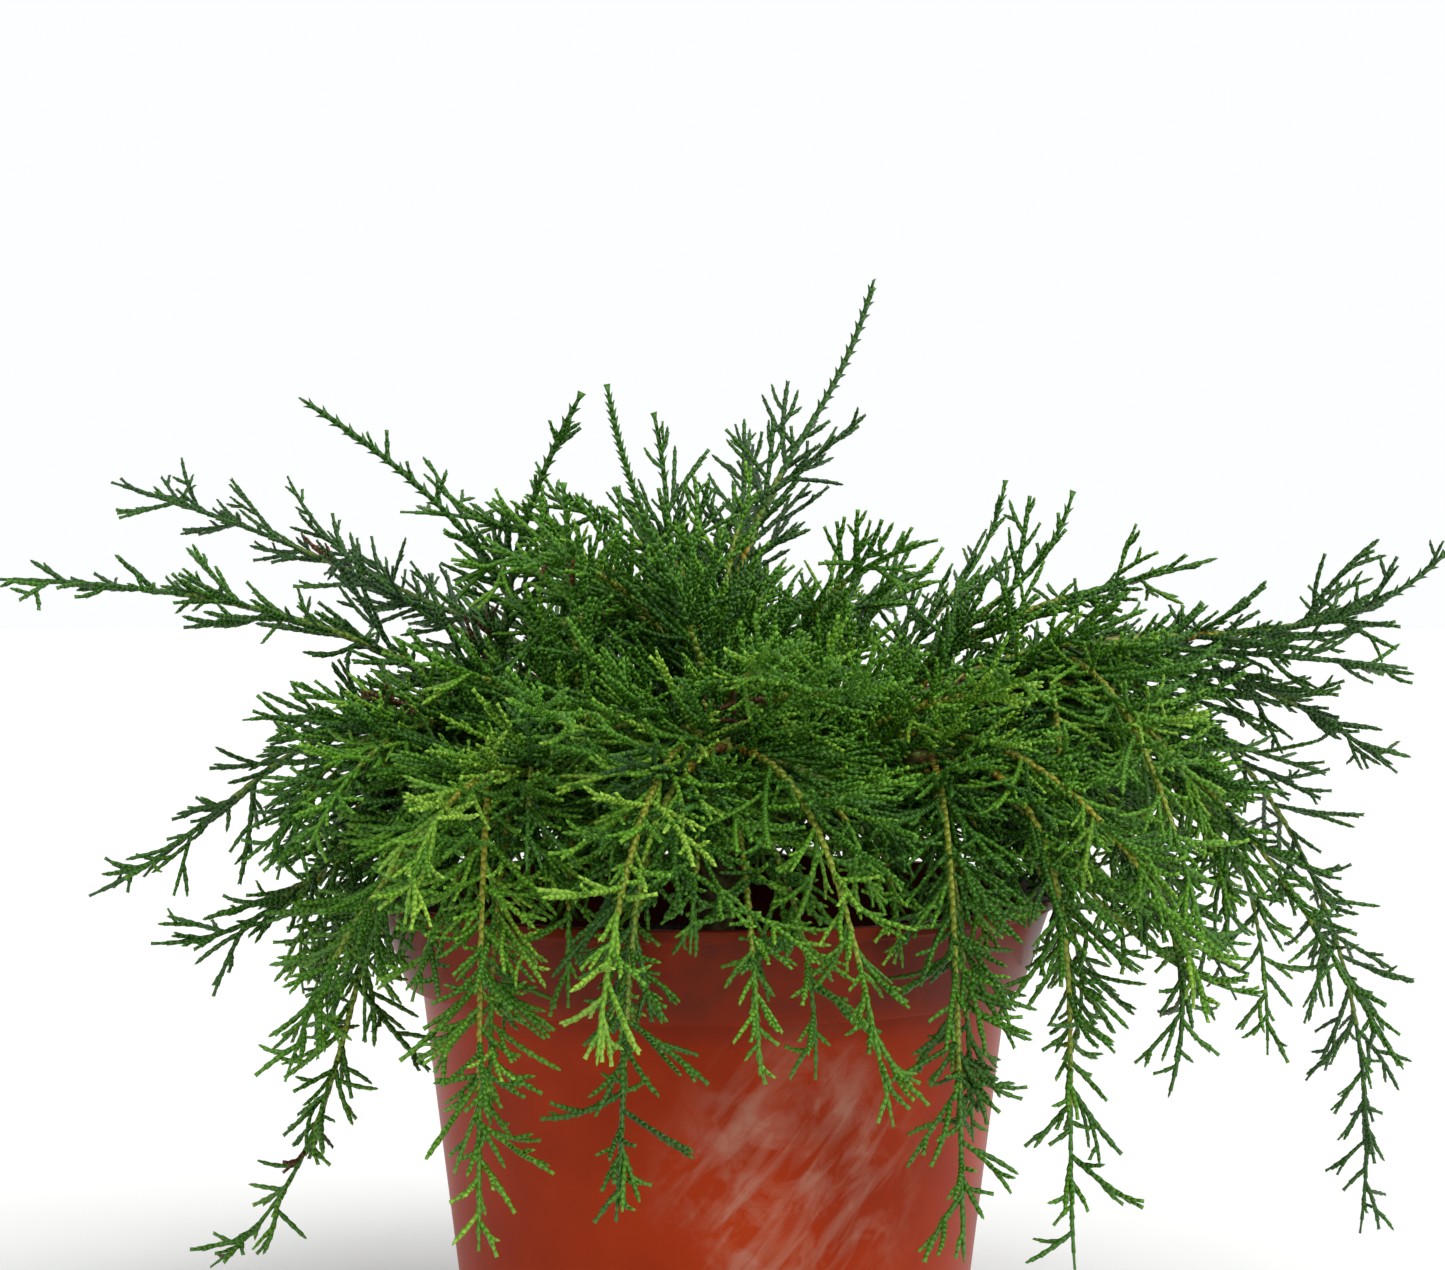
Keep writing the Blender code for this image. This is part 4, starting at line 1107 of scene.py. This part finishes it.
def limb_leaves(limb_path, dice):
    """The leaves and side branches on the outer part of a limb itself."""
    first = int(LIMB_GREEN_FROM * len(limb_path))
    ways = unit(np.diff(limb_path, axis=0))
    radii = np.linspace(*LIMB_SLEEVE, len(ways))[first:] * MM
    leaves = []
    dress(leaves, limb_path[first:-1], ways[first:], outward(ways[first], 30), radii,
          np.full(len(radii), LIMB_STEP), np.full(len(radii), BARE))
    for index in range(first, len(limb_path) - 1, 2):
        branch(leaves, limb_path[index], ways[index], dice.uniform(0, 360),
               dice.uniform(12, 26) * MM, dice.uniform(0.2, 0.6), dice)
    grown = np.vstack(leaves)
    grown[:, TONE] = np.where(grown[:, TONE] == BARE, OLIVE - 0.03, green(grown[:, TONE]))
    return grown


# %% Grow the inner shoots
inner_count = 0
for order, (name, limb_path) in enumerate(limb_paths.items()):
    dice = random.Random(500 + order)
    limb_reach = max(np.hypot(limb_path[-1][0], limb_path[-1][1]) / MM, 45)
    rows = []
    for kind in inner_kinds(name):
        way, reach, above, along = inner_row(kind, name, limb_reach, dice)
        path = inner_path(limb_path, way, reach, above, along, dice)
        if path is not None:
            rows.append(grow_shoot(path, dice.uniform(0.3, 0.72), 0, dice)[0])
    rows.append(limb_leaves(limb_path, dice))
    grown = np.vstack(rows)
    inner_count += len(grown)
    piece(f"foliage_limb_{name}", leaf_mesh(f"foliage_limb_{name}", [(SPARE, grown)]), leafy)
print(inner_count, "inner leaf pairs,", inner_count * len(SPARE[1]) * 2, "triangles")

# %% [markdown]
# ## The floor, the light and the camera
#
# The plant stands on a plain pale floor in a pale room: a white surround gives soft light from
# everywhere, and two broad lights, one from the upper right and one from the front, give the
# leaves their shape.

# %% Stage
FLOOR_RADIUS = 9.0
FLOOR_DROP = 0.0002     # keeps the floor off the pot's base
floor_shape = bmesh.new()
bmesh.ops.create_circle(floor_shape, cap_ends=True, segments=96, radius=FLOOR_RADIUS)
floor_mesh = to_mesh("floor", floor_shape)
floor = bpy.data.objects.new("floor", floor_mesh)
bpy.context.scene.collection.objects.link(floor)
floor.location.z = -FLOOR_DROP
paper, tree = new_material("pale_matt_paper")
shader = add_node(tree, "ShaderNodeBsdfPrincipled", {
    "Base Color": linear("#F6F6F4"), "Roughness": 0.9})
finish_shader(tree, shader)
floor_mesh.materials.append(paper)

WORLD_LIGHT = 0.62      # strength of the light the room gives
WORLD_SEEN = 1.0        # and of the room itself behind the plant
world = bpy.data.worlds.new("pale_room")
bpy.context.scene.world = world
world.use_nodes = True
tree = world.node_tree
tree.nodes.clear()
ray = add_node(tree, "ShaderNodeLightPath")
power = add_node(tree, "ShaderNodeMapRange", {
    "Value": ray.outputs["Is Camera Ray"], "To Min": WORLD_LIGHT, "To Max": WORLD_SEEN})
room = add_node(tree, "ShaderNodeBackground", {
    "Color": linear("#FDFEFF"), "Strength": power.outputs[0]})
add_node(tree, "ShaderNodeOutputWorld", {"Surface": room.outputs[0]})


def lamp(name, strength, angle, heading):
    """A broad distant light that shines along a direction."""
    light = bpy.data.lights.new(name, "SUN")
    light.energy = strength
    light.angle = math.radians(angle)
    made = bpy.data.objects.new(name, light)
    made.rotation_mode = "QUATERNION"
    made.rotation_quaternion = Vector(heading).to_track_quat("-Z", "Y")
    bpy.context.scene.collection.objects.link(made)


lamp("window_right", 1.5, 35, (-0.66, 0.36, -0.70))
lamp("window_front", 1.0, 24, (-0.20, 0.62, -0.78))

# %% Camera
CAMERA_PLACE = Vector((0.0019, -0.70, 0.210))
CAMERA_AIM = Vector((0.0019, 0.0, 0.193))
lens = bpy.data.cameras.new("camera")
lens.sensor_width = 36.0
lens.lens = 70.2
camera = bpy.data.objects.new("camera", lens)
camera.location = CAMERA_PLACE
camera.rotation_mode = "QUATERNION"
camera.rotation_quaternion = (CAMERA_AIM - CAMERA_PLACE).to_track_quat("-Z", "Y")
bpy.context.scene.collection.objects.link(camera)
bpy.context.scene.camera = camera
bpy.context.scene.view_settings.view_transform = "Standard"
bpy.context.scene.view_settings.look = "None"
bpy.context.scene.view_settings.exposure = 0.0
